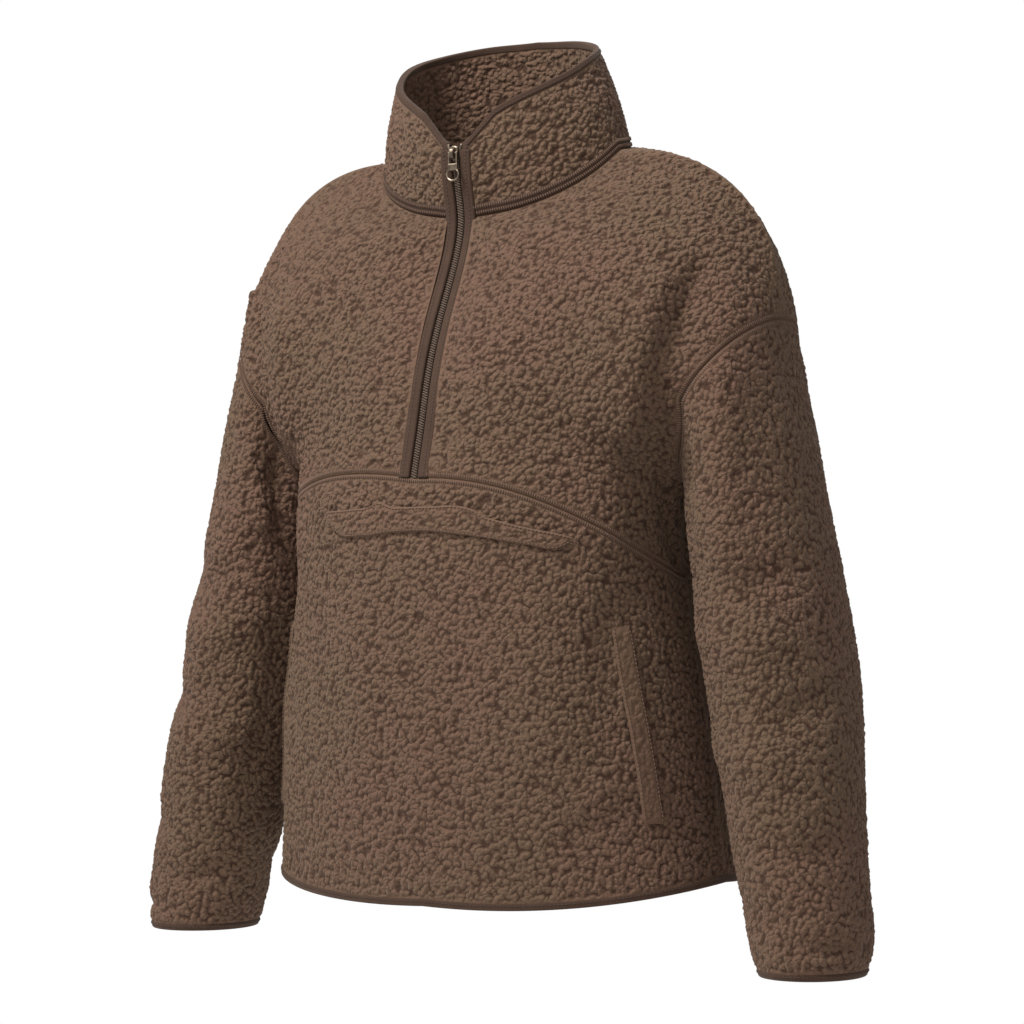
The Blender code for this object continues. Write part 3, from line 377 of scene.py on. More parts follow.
@dataclass(frozen=True)
class Cut:
    """The garment's smooth form: every panel is read off it at any fineness."""

    cloth: float = 0.003
    collar_cloth: float = 0.004
    hem_front: float = -0.607
    hem_back: float = -0.597
    hem_side: float = -0.588
    yoke_middle: float = -0.266
    yoke_left: float = -0.345
    yoke_right: float = -0.310
    yoke_lift_share: float = 0.3
    armpit: float = -0.272
    armhole_top: float = -0.140
    cuff_left: float = -0.654
    cuff_right: float = -0.649
    side_seam_y: float = 0.005
    neck_half_width: float = 0.108
    neck_front: float = 0.067
    neck_back: float = 0.085
    neck_drop: float = 0.055
    neck_rise: float = 0.012
    binding: float = 0.0055
    zip_edge: float = 0.0122
    zip_gap: float = 0.0003
    zip_steps: int = 19
    yoke_row: float = 12.0
    armpit_row: float = 15.0
    neck_row: float = 23.0
    top_row: float = 30.0
    neck_row_angle: float = 60.0
    armpit_flare: float = 0.008
    armpit_reach: float = 0.012
    collar_half_width: float = 0.090
    collar_front: float = 0.0775
    collar_back: float = 0.080
    collar_lean: float = 0.016
    collar_bulge: float = 0.003

    def neck_point(self, angle: Array) -> Array:
        """The neck seam at angles in degrees, round from the front towards the left."""
        a = np.radians(np.asarray(angle, float))
        forward = np.cos(a)
        ahead = forward > 0
        y = np.where(ahead, -self.neck_front * np.abs(forward) ** 0.85, -self.neck_back * forward)
        z = np.where(ahead, -self.neck_drop * forward, -self.neck_rise * forward)
        return np.stack([self.neck_half_width * np.sin(a), y, z], axis=-1)

    def tube_point(self, angle: Array, height: Array) -> Array:
        """The left sleeve's tube at an angle in degrees and a height."""
        a = np.radians(np.asarray(angle, float))
        across = np.cos(a)
        outer = read(SLEEVE, "height", "outer", height)
        inner = read(SLEEVE, "height", "inner", height)
        x = read(SLEEVE, "height", "x", height) + np.where(across > 0, outer, inner) * across
        y = read(SLEEVE, "height", "y", height) - read(SLEEVE, "height", "deep", height) * np.sin(a)
        return np.stack([x, y, height + 0 * x], axis=-1)

    def sleeve_point(self, angle: Array, share: Array, end: float) -> Array:
        """The left sleeve.

        Args:
            angle: degrees round the tube.
            share: 0 at the armhole, 1 at the sleeve's end.
            end: the height of the sleeve's end.

        Returns:
            The points.
        """
        middle = (self.armhole_top + self.armpit) / 2
        top = middle + (self.armhole_top - self.armpit) / 2 * np.cos(np.radians(angle))
        height = top + (end - top) * share
        point = self.tube_point(angle, height)
        inward = np.maximum(0.0, -np.cos(np.radians(angle)))
        flare = self.armpit_flare * inward**2 * np.exp(-(top - height) / self.armpit_reach)
        point[..., 0] -= flare
        return point

    def armhole_angle(self, row: Array) -> Array:
        """Which point of the armhole a row of the front ends on, in degrees."""
        turn = 180.0 - self.neck_row_angle
        low = 180.0 - turn * (row - self.armpit_row) / (self.neck_row - self.armpit_row)
        high = self.neck_row_angle * (self.top_row - row) / (self.top_row - self.neck_row)
        return np.where(row <= self.neck_row, low, high)

    def side_point(self, rows: Array, front: bool, yoke_side: float) -> Array:
        """Where rows end: on the side seam, then on the armhole."""
        low = self.hem_side + self.binding
        height = np.interp(rows, (0, self.yoke_row, self.armpit_row), (low, yoke_side, self.armpit))
        out = read(SIDE_LINE, "height", "out", height)
        seam = np.stack([out, np.full_like(out, self.side_seam_y), height], axis=-1)
        angle = self.armhole_angle(np.maximum(rows, self.armpit_row))
        hole = self.sleeve_point(angle if front else -angle, np.zeros_like(angle), self.cuff_left)
        return np.where(rows[:, None] >= self.armpit_row, hole, seam)

    def middle_point(self, rows: Array, front: bool) -> Array:
        """Where rows start: on the panel's middle line, then on the neck seam.

        Args:
            rows: places up the panel, in the table's rows.
            front: the panel lies in front.

        Returns:
            The points.
        """
        past_neck = np.maximum(rows, self.neck_row) - self.neck_row
        turn = 90.0 * past_neck / (self.top_row - self.neck_row)
        neck = self.neck_point(turn if front else 180.0 - turn)
        if front:
            ends = (self.hem_front + self.binding, self.yoke_middle, -self.neck_drop)
            height = np.interp(rows, (0, self.yoke_row, self.neck_row), ends)
            out = -read(FRONT_LINE, "height", "out", height)
        else:
            ends = (self.hem_back + self.binding, self.neck_rise)
            height = np.interp(rows, (0, self.neck_row), ends)
            out = read(BACK_LINE, "height", "out", height)
        line = np.stack([np.zeros_like(out), out, height], axis=-1)
        return np.where(rows[:, None] >= self.neck_row, neck, line)

    def half_panel(self, front: bool, yoke_side: float, rows: Array, shares: Array) -> Array:
        """A half of the front or the back, as a left one.

        Args:
            front: the front, or else the back.
            yoke_side: the height of the yoke seam at the side.
            rows: the rows, up the body.
            shares: how far along each row, from 0 to 1, one set for all rows or one for each.

        Returns:
            An array of rows, columns and coordinates.
        """
        table = FRONT_ROWS if front else BACK_ROWS
        first = np.stack([read(table, "row", c, rows) for c in ("x1", "y1", "z1")], axis=-1)
        second = np.stack([read(table, "row", c, rows) for c in ("x2", "y2", "z2")], axis=-1)
        bend = np.interp(rows, (0, self.yoke_row, self.armpit_row), (0, 1, 0))
        lift = (yoke_side - self.yoke_left) * bend
        first[:, 2] += lift * self.yoke_lift_share
        second[:, 2] += lift
        start = self.middle_point(rows, front)[:, None]
        end = self.side_point(rows, front, yoke_side)[:, None]
        s = np.broadcast_to(shares, (len(rows), np.shape(shares)[-1]))[..., None]
        return (
            (1 - s) ** 3 * start
            + 3 * (1 - s) ** 2 * s * first[:, None]
            + 3 * (1 - s) * s**2 * second[:, None]
            + s**3 * end
        )

    def zip_shares(self, front_rows: Array, yoke_side: float, columns: int) -> Array:
        """Shares along each row that start at the edge of the zip's binding."""
        trial = np.linspace(0.0, 0.25, 60)
        xs = self.half_panel(True, yoke_side, front_rows, trial)[..., 0]
        starts = np.array([np.interp(self.zip_edge, row, trial) for row in xs])
        starts[xs[:, 0] >= self.zip_edge] = 0.0
        spread = np.linspace(0.0, 1.0, columns)
        return starts[:, None] + (1 - starts[:, None]) * spread

    def collar_point(self, angle: Array, share: Array) -> Array:
        """The collar, from the neck seam at share 0 to just under its binding at share 1.

        Args:
            angle: the place round the neck, in degrees from the front.
            share: the place up the collar.

        Returns:
            The points.
        """
        angle, share = np.broadcast_arrays(np.asarray(angle, float), np.asarray(share, float))
        a = np.radians(angle)
        base = self.neck_point(angle)
        folded = 180.0 - np.abs(180.0 - angle % 360.0)
        height = read(COLLAR_TOP, "angle", "height", folded) - self.binding
        forward = np.cos(a)
        deep = np.where(forward > 0, self.collar_front, self.collar_back)
        lean = self.collar_lean * (1 - forward) / 2
        across = self.collar_half_width * np.sin(a) - lean
        top = np.stack([across, -deep * forward, height], axis=-1)
        bulge = (self.collar_bulge * 4 * share * (1 - share))[..., None]
        out = np.stack([np.sin(a), -forward, np.zeros_like(a)], axis=-1)
        return base + (top - base) * share[..., None] + out * bulge

    def zip_line(self) -> tuple[Array, Array, Array]:
        """The zip's middle line.

        Returns:
            Its points from the yoke seam up, the directions along it and those out of the cloth.
        """
        heights = np.linspace(self.yoke_middle + self.zip_gap, -self.neck_drop, self.zip_steps)
        outs = -read(FRONT_LINE, "height", "out", heights)
        front = np.stack([np.zeros(self.zip_steps), outs, heights], axis=-1)
        collar = self.collar_point(np.zeros(5), np.array([0.2, 0.4, 0.6, 0.8, 1.0]))
        points = np.concatenate([front, collar])
        for _ in range(2):
            points[1:-1] = (points[:-2] + 2 * points[1:-1] + points[2:]) / 4
        along = unit(np.gradient(points, axis=0))
        out = unit(np.cross(np.array([1.0, 0.0, 0.0]), along))
        return points, along, out * -np.sign(out[:, 1:2])


CUT = Cut()


def mirrored(grid: Array) -> Array:
    """The same grid on the right side, still facing out."""
    return grid[:, ::-1] * np.array([-1.0, 1.0, 1.0])


def normals_of(grid: Array, around: bool) -> Array:
    """The outward directions of a grid; around: its last column is its first again."""
    wide = np.concatenate([grid[:, -2:-1], grid, grid[:, 1:2]], axis=1) if around else grid
    across, up = np.gradient(wide, axis=1), np.gradient(wide, axis=0)
    normals = unit(np.cross(across, up))
    return normals[:, 1:-1] if around else normals


def line_share(points: Array, line: Array) -> tuple[Array, Array]:
    """How far points lie from a line of corners.

    Args:
        points: the points, their last axis the coordinates.
        line: the corners.

    Returns:
        The distances, and how far along the line each nearest place is, from 0 to 1.
    """
    nearest = np.full(points.shape[:-1], np.inf)
    share = np.zeros(points.shape[:-1])
    lengths = np.linalg.norm(np.diff(line, axis=0), axis=1)
    before = 0.0
    for a, b, length in zip(line, line[1:], lengths):
        t = np.clip(((points - a) @ (b - a)) / length**2, 0.0, 1.0)
        gap = np.linalg.norm(points - (a + t[..., None] * (b - a)), axis=-1)
        better = gap < nearest
        nearest = np.where(better, gap, nearest)
        share = np.where(better, (before + t * length) / lengths.sum(), share)
        before += length
    return nearest, share


def fold_lift(points: Array) -> Array:
    """How far the folds lift each point off the plain form."""
    lift = np.zeros(points.shape[:-1])
    for fold in FOLDS + ARM_FOLDS:
        for mirror in (1.0,) if fold.side else (-1.0, 1.0):
            line = np.array([fold.start, fold.middle, fold.end]) * np.array([mirror, 1.0, 1.0])
            gap, _ = line_share(points, line)
            lift += fold.depth * np.exp(-((gap / fold.width) ** 2))
    return lift


def crease_lift(places: Array, creases: tuple[Crease, ...]) -> Array:
    """How far soft creases lift each place of a panel, fading out at their ends."""
    lift = np.zeros(places.shape[:-1])
    for crease in creases:
        gap, share = line_share(places, np.array(crease.line))
        fade = np.sin(np.pi * np.clip(share, 0.02, 0.98)) ** 0.7
        lift += crease.depth * fade * np.exp(-((gap / crease.width) ** 2))
    return lift


# Node trees


@dataclass(frozen=True)
class Wire:
    """One socket of a node tree, with sums written as in Python."""

    tree: bpy.types.NodeTree
    socket: Any = None

    def make(
        self,
        kind: str,
        settings: dict[str, Any] | None = None,
        inputs: dict[Any, Any] | None = None,
        output: Any = 0,
    ) -> "Wire":
        """Adds a node.

        Args:
            kind: the node's type.
            settings: its properties.
            inputs: values and wires for its sockets, by name or number.
            output: the output that is wanted.

        Returns:
            That output.
        """
        node = self.tree.nodes.new(kind)
        for name, value in (settings or {}).items():
            setattr(node, name, value)
        for name, value in (inputs or {}).items():
            if isinstance(value, Wire):
                self.tree.links.new(value.socket, node.inputs[name])
            else:
                node.inputs[name].default_value = value
        return Wire(self.tree, node.outputs[output] if len(node.outputs) else None)

    def maths(self, operation: str, a: Any, b: Any = 0.0) -> "Wire":
        """One sum of two numbers, each a wire or a value."""
        return self.make("ShaderNodeMath", {"operation": operation}, {0: a, 1: b})

    def vectors(self, operation: str, a: Any, b: Any) -> "Wire":
        """One sum of two vectors, each a wire or three numbers."""
        return self.make("ShaderNodeVectorMath", {"operation": operation}, {0: a, 1: b})

    def __add__(self, other: Any) -> "Wire":
        """The sum."""
        return self.maths("ADD", self, other)

    def __radd__(self, other: Any) -> "Wire":
        """The sum."""
        return self.maths("ADD", other, self)

    def __sub__(self, other: Any) -> "Wire":
        """The difference."""
        return self.maths("SUBTRACT", self, other)

    def __rsub__(self, other: Any) -> "Wire":
        """The difference."""
        return self.maths("SUBTRACT", other, self)

    def __mul__(self, other: Any) -> "Wire":
        """The product."""
        return self.maths("MULTIPLY", self, other)

    def __rmul__(self, other: Any) -> "Wire":
        """The product."""
        return self.maths("MULTIPLY", other, self)

    def soft_step(self, low: float, high: float) -> "Wire":
        """A soft step from 0 at low to 1 at high."""
        return self.make(
            "ShaderNodeMapRange",
            {"interpolation_type": "SMOOTHSTEP"},
            {"Value": self, "From Min": low, "From Max": high},
        )

    def blend(self, low: Any, high: Any) -> "Wire":
        """A colour between two, by this wire from 0 to 1."""
        return self.make("ShaderNodeMix", {"data_type": "RGBA"}, {0: self, 6: low, 7: high}, 2)

    def noise(self, scale: float, detail: float = 2.0, output: str = "Fac") -> "Wire":
        """Noise read at this place."""
        inputs = {"Vector": self, "Scale": scale, "Detail": detail}
        return self.make("ShaderNodeTexNoise", None, inputs, output)

    def cells(self, scale: float, feature: str, output: str = "Distance") -> "Wire":
        """A cell pattern read at this place."""
        inputs = {"Vector": self, "Scale": scale}
        return self.make("ShaderNodeTexVoronoi", {"feature": feature}, inputs, output)


@dataclass(frozen=True)
class Curls:
    """The fleece's curls: crowded lumps 3 to 5 mm across with narrow crevices between them.

    The lumps are two sets of cells laid over each other, the second one apart from the first.
    """

    lump: float = 0.0049
    curl: float = 0.0023
    wander: float = 0.0021
    apart: float = 0.3137
    height: float = 0.0021
    middle: float = 0.45
    drift: float = 150.0
    unevenness: float = 70.0

    def heights(self, place: Wire) -> Wire:
        """How high the curls stand at a place, from 0 in the crevices to 1.

        Args:
            place: the place on the cloth, in metres.

        Returns:
            The height.
        """
        drift = place.noise(self.drift, 1.0, "Color")
        drift = place.vectors("SUBTRACT", drift, (0.5, 0.5, 0.5))
        drift = place.vectors("MULTIPLY", drift, (self.wander * 2,) * 3)
        moved = place.vectors("ADD", place, drift)
        apart = moved.vectors("ADD", moved, (self.apart,) * 3)
        near = moved.cells(1 / self.lump, "F1")
        nearest = near.maths("MINIMUM", near, apart.cells(1 / self.lump, "F1"))
        lumps = 1.0 - nearest.soft_step(0.12, 0.74)
        small = 1.0 - moved.cells(1 / self.curl, "F1").soft_step(0.10, 0.95)
        uneven = place.noise(self.unevenness, 1.0).soft_step(0.25, 0.75)
        return lumps * (0.64 + uneven * 0.12) + small * (0.12 + lumps * 0.18)

    def shaper(self) -> bpy.types.NodeTree:
        """A node group that raises a mesh's curls along its normals, by its nap attribute."""
        tree = bpy.data.node_groups.new("curls", "GeometryNodeTree")
        tree.interface.new_socket("Geometry", in_out="INPUT", socket_type="NodeSocketGeometry")
        tree.interface.new_socket("Geometry", in_out="OUTPUT", socket_type="NodeSocketGeometry")
        wire = Wire(tree)
        cloth = wire.make("NodeGroupInput")
        nap = wire.make("GeometryNodeInputNamedAttribute", None, {"Name": "nap"}, "Attribute")
        place = wire.make("GeometryNodeInputPosition")
        normal = wire.make("GeometryNodeInputNormal")
        lift = (self.heights(place) - self.middle) * nap * self.height
        offset = wire.make(
            "ShaderNodeVectorMath", {"operation": "SCALE"}, {0: normal, "Scale": lift}
        )
        moved = wire.make("GeometryNodeSetPosition", None, {"Geometry": cloth, "Offset": offset})
        wire.make("NodeGroupOutput", None, {0: moved})
        return tree


CURLS = Curls()


@dataclass(frozen=True)
class Finish:
    """What all finishes share: a name, a slot, and constants of the surface."""

    name: str
    slot: str
    roughness: float = 0.9
    metallic: float = 0.0
    sheen: float = 0.0
    coat: float = 0.0

    def dress(self, wire: Wire) -> tuple[Any, Any, Any]:
        """The colour, the height that is bumped and how far it is bumped, for the shader."""
        raise NotImplementedError

    def material(self) -> bpy.types.Material:
        """The finished material, made once."""
        old = bpy.data.materials.get(self.name)
        if old:
            return old
        made = bpy.data.materials.new(self.name)
        made.use_nodes = True
        tree = made.node_tree
        shader = tree.nodes["Principled BSDF"]
        colour, height, depth = self.dress(Wire(tree))
        tree.links.new(colour.socket, shader.inputs["Base Color"])
        bump = Wire(tree).make(
            "ShaderNodeBump", None, {"Height": height, "Distance": depth, "Strength": 1.0}
        )
        tree.links.new(bump.socket, shader.inputs["Normal"])
        shader.inputs["Roughness"].default_value = self.roughness
        shader.inputs["Metallic"].default_value = self.metallic
        shader.inputs["Sheen Weight"].default_value = self.sheen
        shader.inputs["Sheen Roughness"].default_value = 0.5
        shader.inputs["Sheen Tint"].default_value = (0.90, 0.70, 0.55, 1.0)
        shader.inputs["Coat Weight"].default_value = self.coat
        shader.inputs["Specular IOR Level"].default_value = 0.25 if self.metallic < 0.5 else 0.5
        return made


@dataclass(frozen=True)
class Fleece(Finish):
    """Curly pile with painted shade darkening its crevices, in soft patches of redder and greener
    brown.
    """

    # deep is the colour painted into the crevices as shade.
    deep: tuple[float, float, float, float] = (0.058, 0.028, 0.017, 1.0)
    red: tuple[float, float, float, float] = (0.160, 0.088, 0.059, 1.0)
    green: tuple[float, float, float, float] = (0.141, 0.088, 0.053, 1.0)
    depth: float = 0.0021

    def dress(self, wire: Wire) -> tuple[Any, Any, Any]:
        """The colour, height and depth of the pile."""
        place = wire.make("ShaderNodeAttribute", {"attribute_name": "place"}, None, "Vector")
        nap = wire.make("ShaderNodeAttribute", {"attribute_name": "nap"}, None, "Fac")
        height = (CURLS.heights(place) - CURLS.middle) * (nap * 0.8 + 0.2) + CURLS.middle
        patches = place.noise(7.0, 2.0).soft_step(0.35, 0.65)
        specks = place.noise(120.0, 2.0).soft_step(0.3, 0.7)
        tips = (patches * 0.65 + specks * 0.35).blend(self.red, self.green)
        fuzz = place.noise(700.0, 3.0)
        # Painted shade: the colour falls towards deep where the curls sink into their crevices; the
        # fuzz adds a random tone.
        shade = height.soft_step(0.0, 0.50) * (0.80 + fuzz * 0.40)
        return shade.blend(self.deep, tips), height + fuzz * 0.30, self.depth


@dataclass(frozen=True)
class FleeceBack(Finish):
    """The fleece's knit back, seen inside the garment."""

    low: tuple[float, float, float, float] = (0.070, 0.044, 0.031, 1.0)
    high: tuple[float, float, float, float] = (0.110, 0.071, 0.051, 1.0)

    def dress(self, wire: Wire) -> tuple[Any, Any, Any]:
        """The colour, height and depth of the knit.

        Args:
            wire: the material's wiring.

        Returns:
            The colour, the height and its depth in metres.
        """
        place = wire.make("ShaderNodeTexCoord", None, None, "Object")
        ribs = wire.make(
            "ShaderNodeTexWave",
            {"bands_direction": "X"},
            {"Vector": place, "Scale": 260.0, "Distortion": 1.5, "Detail": 1.0},
            "Fac",
        )
        fuzz = place.noise(900.0, 3.0)
        return (ribs * 0.5 + fuzz * 0.5).blend(self.low, self.high), ribs * 0.4 + fuzz, 0.0006


@dataclass(frozen=True)
class Jersey(Finish):
    """Smooth knit binding with fine ribs that run with the edge, and a little fuzz."""

    low: tuple[float, float, float, float] = (0.046, 0.024, 0.015, 1.0)
    high: tuple[float, float, float, float] = (0.086, 0.048, 0.031, 1.0)

    def dress(self, wire: Wire) -> tuple[Any, Any, Any]:
        """The colour, height and depth of the knit.

        Args:
            wire: the material's wiring.

        Returns:
            The colour, the height and its depth in metres.
        """
        place = wire.make("ShaderNodeUVMap", {"uv_map": "run"}, None, "UV")
        ribs = wire.make(
            "ShaderNodeTexWave",
            {"bands_direction": "X", "wave_profile": "SIN"},
            {"Vector": place, "Scale": 330.0, "Distortion": 0.6, "Detail": 1.0},
            "Fac",
        )
        where = wire.make("ShaderNodeTexCoord", None, None, "Object")
        fuzz = where.noise(1100.0, 3.0)
        worn = where.noise(40.0, 2.0)
        shade = (ribs * 0.25 + fuzz * 0.35 + worn * 0.4).soft_step(0.2, 0.8)
        return shade.blend(self.low, self.high), ribs * 0.5 + fuzz * 0.5, 0.00035


@dataclass(frozen=True)
class Thread(Finish):
    """Sewing thread, twisted. The dark thread is in the binding's colour; the default colour is
    lighter than the tone-on-tone cloth, a painted highlight on the stitches' ridges, with a random
    tone from the twist.
    """

    # The default colours are lifted as painted highlight on the stitches; the twist's tone between
    # them is random.
    low: tuple[float, float, float, float] = (0.120, 0.070, 0.048, 1.0)
    high: tuple[float, float, float, float] = (0.260, 0.165, 0.118, 1.0)

    def dress(self, wire: Wire) -> tuple[Any, Any, Any]:
        """The colour, height and depth of the twist."""
        place = wire.make("ShaderNodeTexCoord", None, None, "Object")
        twist = place.noise(1500.0, 2.0)
        return twist.blend(self.low, self.high), twist, 0.0002


@dataclass(frozen=True)
class Nylon(Finish):
    """The zip's nylon coil, a little glossy."""

    low: tuple[float, float, float, float] = (0.085, 0.056, 0.041, 1.0)
    high: tuple[float, float, float, float] = (0.190, 0.135, 0.100, 1.0)

    def dress(self, wire: Wire) -> tuple[Any, Any, Any]:
        """The colour, height and depth of the coil."""
        place = wire.make("ShaderNodeTexCoord", None, None, "Object")
        shade = place.noise(300.0, 2.0)
        return shade.blend(self.low, self.high), place.noise(2500.0, 2.0), 0.00005


@dataclass(frozen=True)
class Bronze(Finish):
    """Brushed light bronze plating on the zip's metal, rubbed darker in places."""

    low: tuple[float, float, float, float] = (0.130, 0.098, 0.071, 1.0)
    high: tuple[float, float, float, float] = (0.360, 0.285, 0.215, 1.0)

    def dress(self, wire: Wire) -> tuple[Any, Any, Any]:
        """The colour, height and depth of the brushing."""
        place = wire.make("ShaderNodeTexCoord", None, None, "Object")
        stretched = place.vectors("MULTIPLY", place, (9.0, 9.0, 1.0))
        brushed = stretched.noise(700.0, 3.0)
        rubbed = place.noise(260.0, 2.0)
        shade = (brushed * 0.4 + rubbed * 0.6).soft_step(0.3, 0.7)
        return shade.blend(self.low, self.high), brushed, 0.00004


@dataclass(frozen=True)
class Paper(Finish):
    """The pale floor, which fades out towards its edge."""

    tint: tuple[float, float, float, float] = (0.90, 0.90, 0.90, 1.0)
    solid: float = 0.5
    gone: float = 2.3

    def material(self) -> bpy.types.Material:
        """The finished material, with its fade."""
        made = super().material()
        tree = made.node_tree
        wire = Wire(tree)
        place = wire.make("ShaderNodeTexCoord", None, None, "Object")
        flat = place.vectors("MULTIPLY", place, (1.0, 1.0, 0.0))
        away = wire.make("ShaderNodeVectorMath", {"operation": "LENGTH"}, {0: flat}, "Value")
        alpha = 1.0 - away.soft_step(self.solid, self.gone)
        tree.links.new(alpha.socket, tree.nodes["Principled BSDF"].inputs["Alpha"])
        return made

    def dress(self, wire: Wire) -> tuple[Any, Any, Any]:
        """The colour, height and depth of the floor."""
        place = wire.make("ShaderNodeTexCoord", None, None, "Object")
        shade = place.noise(0.6, 1.0)
        return shade.blend(self.tint, (0.93, 0.93, 0.93, 1.0)), shade, 0.0001


FLEECE = Fleece("curly_fleece", "fleece", 0.95, 0.0, 0.15)
BACKING = FleeceBack("fleece_back", "fleece", 0.95, 0.0, 0.1)
JERSEY = Jersey("jersey_binding", "binding", 0.85, 0.0, 0.12)
# The lighter thread of the cover and welt stitches is painted highlight.
THREAD = Thread("sewing_thread", "binding", 0.7)
DARK_THREAD = Thread(
    "dark_thread", "binding", 0.8, low=(0.058, 0.035, 0.025, 1.0), high=(0.125, 0.080, 0.057, 1.0)
)
NYLON = Nylon("nylon_coil", "coil", 0.38)
BRONZE = Bronze("brushed_bronze", "zip_metal", 0.40, 1.0)
PAPER = Paper("pale_floor", "floor", 0.9)


# Meshes


def add_mesh(name: str, points: Array, faces: Any, finish: Finish, body: str = "garment") -> Any:
    """Adds a piece that rides on a body.

    Args:
        name: the piece's name.
        points: its points.
        faces: its faces.
        finish: its finish.
        body: the body that it rides on.

    Returns:
        The object.
    """
    mesh = bpy.data.meshes.new(name)
    mesh.from_pydata(np.asarray(points).reshape(-1, 3).tolist(), [], np.asarray(faces).tolist())
    mesh.update()
    mesh.shade_smooth()
    mesh.materials.append(finish.material())
    made = bpy.data.objects.new(name, mesh)
    bpy.context.scene.collection.objects.link(made)
    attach(made, body)
    return made


def grid_faces(rows: int, columns: int, around: bool = False) -> Array:
    """A grid's faces; around: the last column joins the first."""
    number = np.arange(rows * columns).reshape(rows, columns)
    if around:
        number = np.concatenate([number, number[:, :1]], axis=1)
    quads = [number[:-1, :-1], number[:-1, 1:], number[1:, 1:], number[1:, :-1]]
    return np.stack(quads, axis=-1).reshape(-1, 4)


def lengths_from(grid: Array, axis: int, far: bool) -> Array:
    """How far each point is from an edge of its grid, along the grid's own lines.

    Args:
        grid: the points.
        axis: 0 to run up the columns, 1 to run along the rows.
        far: from the last edge, or else from the first.

    Returns:
        The lengths, in metres.
    """
    steps = np.linalg.norm(np.diff(grid, axis=axis), axis=-1)
    zero = np.zeros_like(np.take(steps, [0], axis=axis))
    run = np.concatenate([zero, np.cumsum(steps, axis=axis)], axis=axis)
    return np.take(run, [-1], axis=axis) - run if far else run


class Edge(Enum):
    """An edge of a panel's grid: the axis that runs off it, and whether it is the last one."""

    LOW = (0, False)
    HIGH = (0, True)
    START = (1, False)
    END = (1, True)


class Join(Enum):
    """How an edge is made: how near it the pile is flat and how near it is full, in metres."""

    PLAIN = (0.0000, 0.0045)
    TWIN = (0.0032, 0.0080)
    BOUND = (0.0005, 0.0040)


@dataclass
class Seam:
    """A seam along a stretch of a panel's edge, from one share of the edge to another."""

    edge: Edge
    join: Join
    start: float = 0.0
    end: float = 1.0
    groove: float = 0.0034
    groove_width: float = 0.0016
    groove_depth: float = 0.0007
    seam_width: float = 0.0008
    seam_depth: float = 0.0018


@dataclass
class Armholes:
    """The armhole seams, near which the body and the sleeves are pushed the same way."""

    points: Array
    ways: Array
    reach: float = 0.024

    def blended(self, grid: Array, normals: Array) -> Array:
        """A grid's outward directions, turned to the seams' own near them."""
        flat = grid.reshape(-1, 3)
        gaps, nearest = [], []
        for start in range(0, len(flat), 4000):
            gap = np.linalg.norm(flat[start : start + 4000, None] - self.points[None], axis=-1)
            nearest.append(gap.argmin(axis=1))
            gaps.append(gap.min(axis=1))
        share = ease(np.concatenate(gaps), 0.0, self.reach).reshape(grid.shape[:2] + (1,))
        way = self.ways[np.concatenate(nearest)].reshape(grid.shape)
        return unit(normals * share + way * (1 - share))


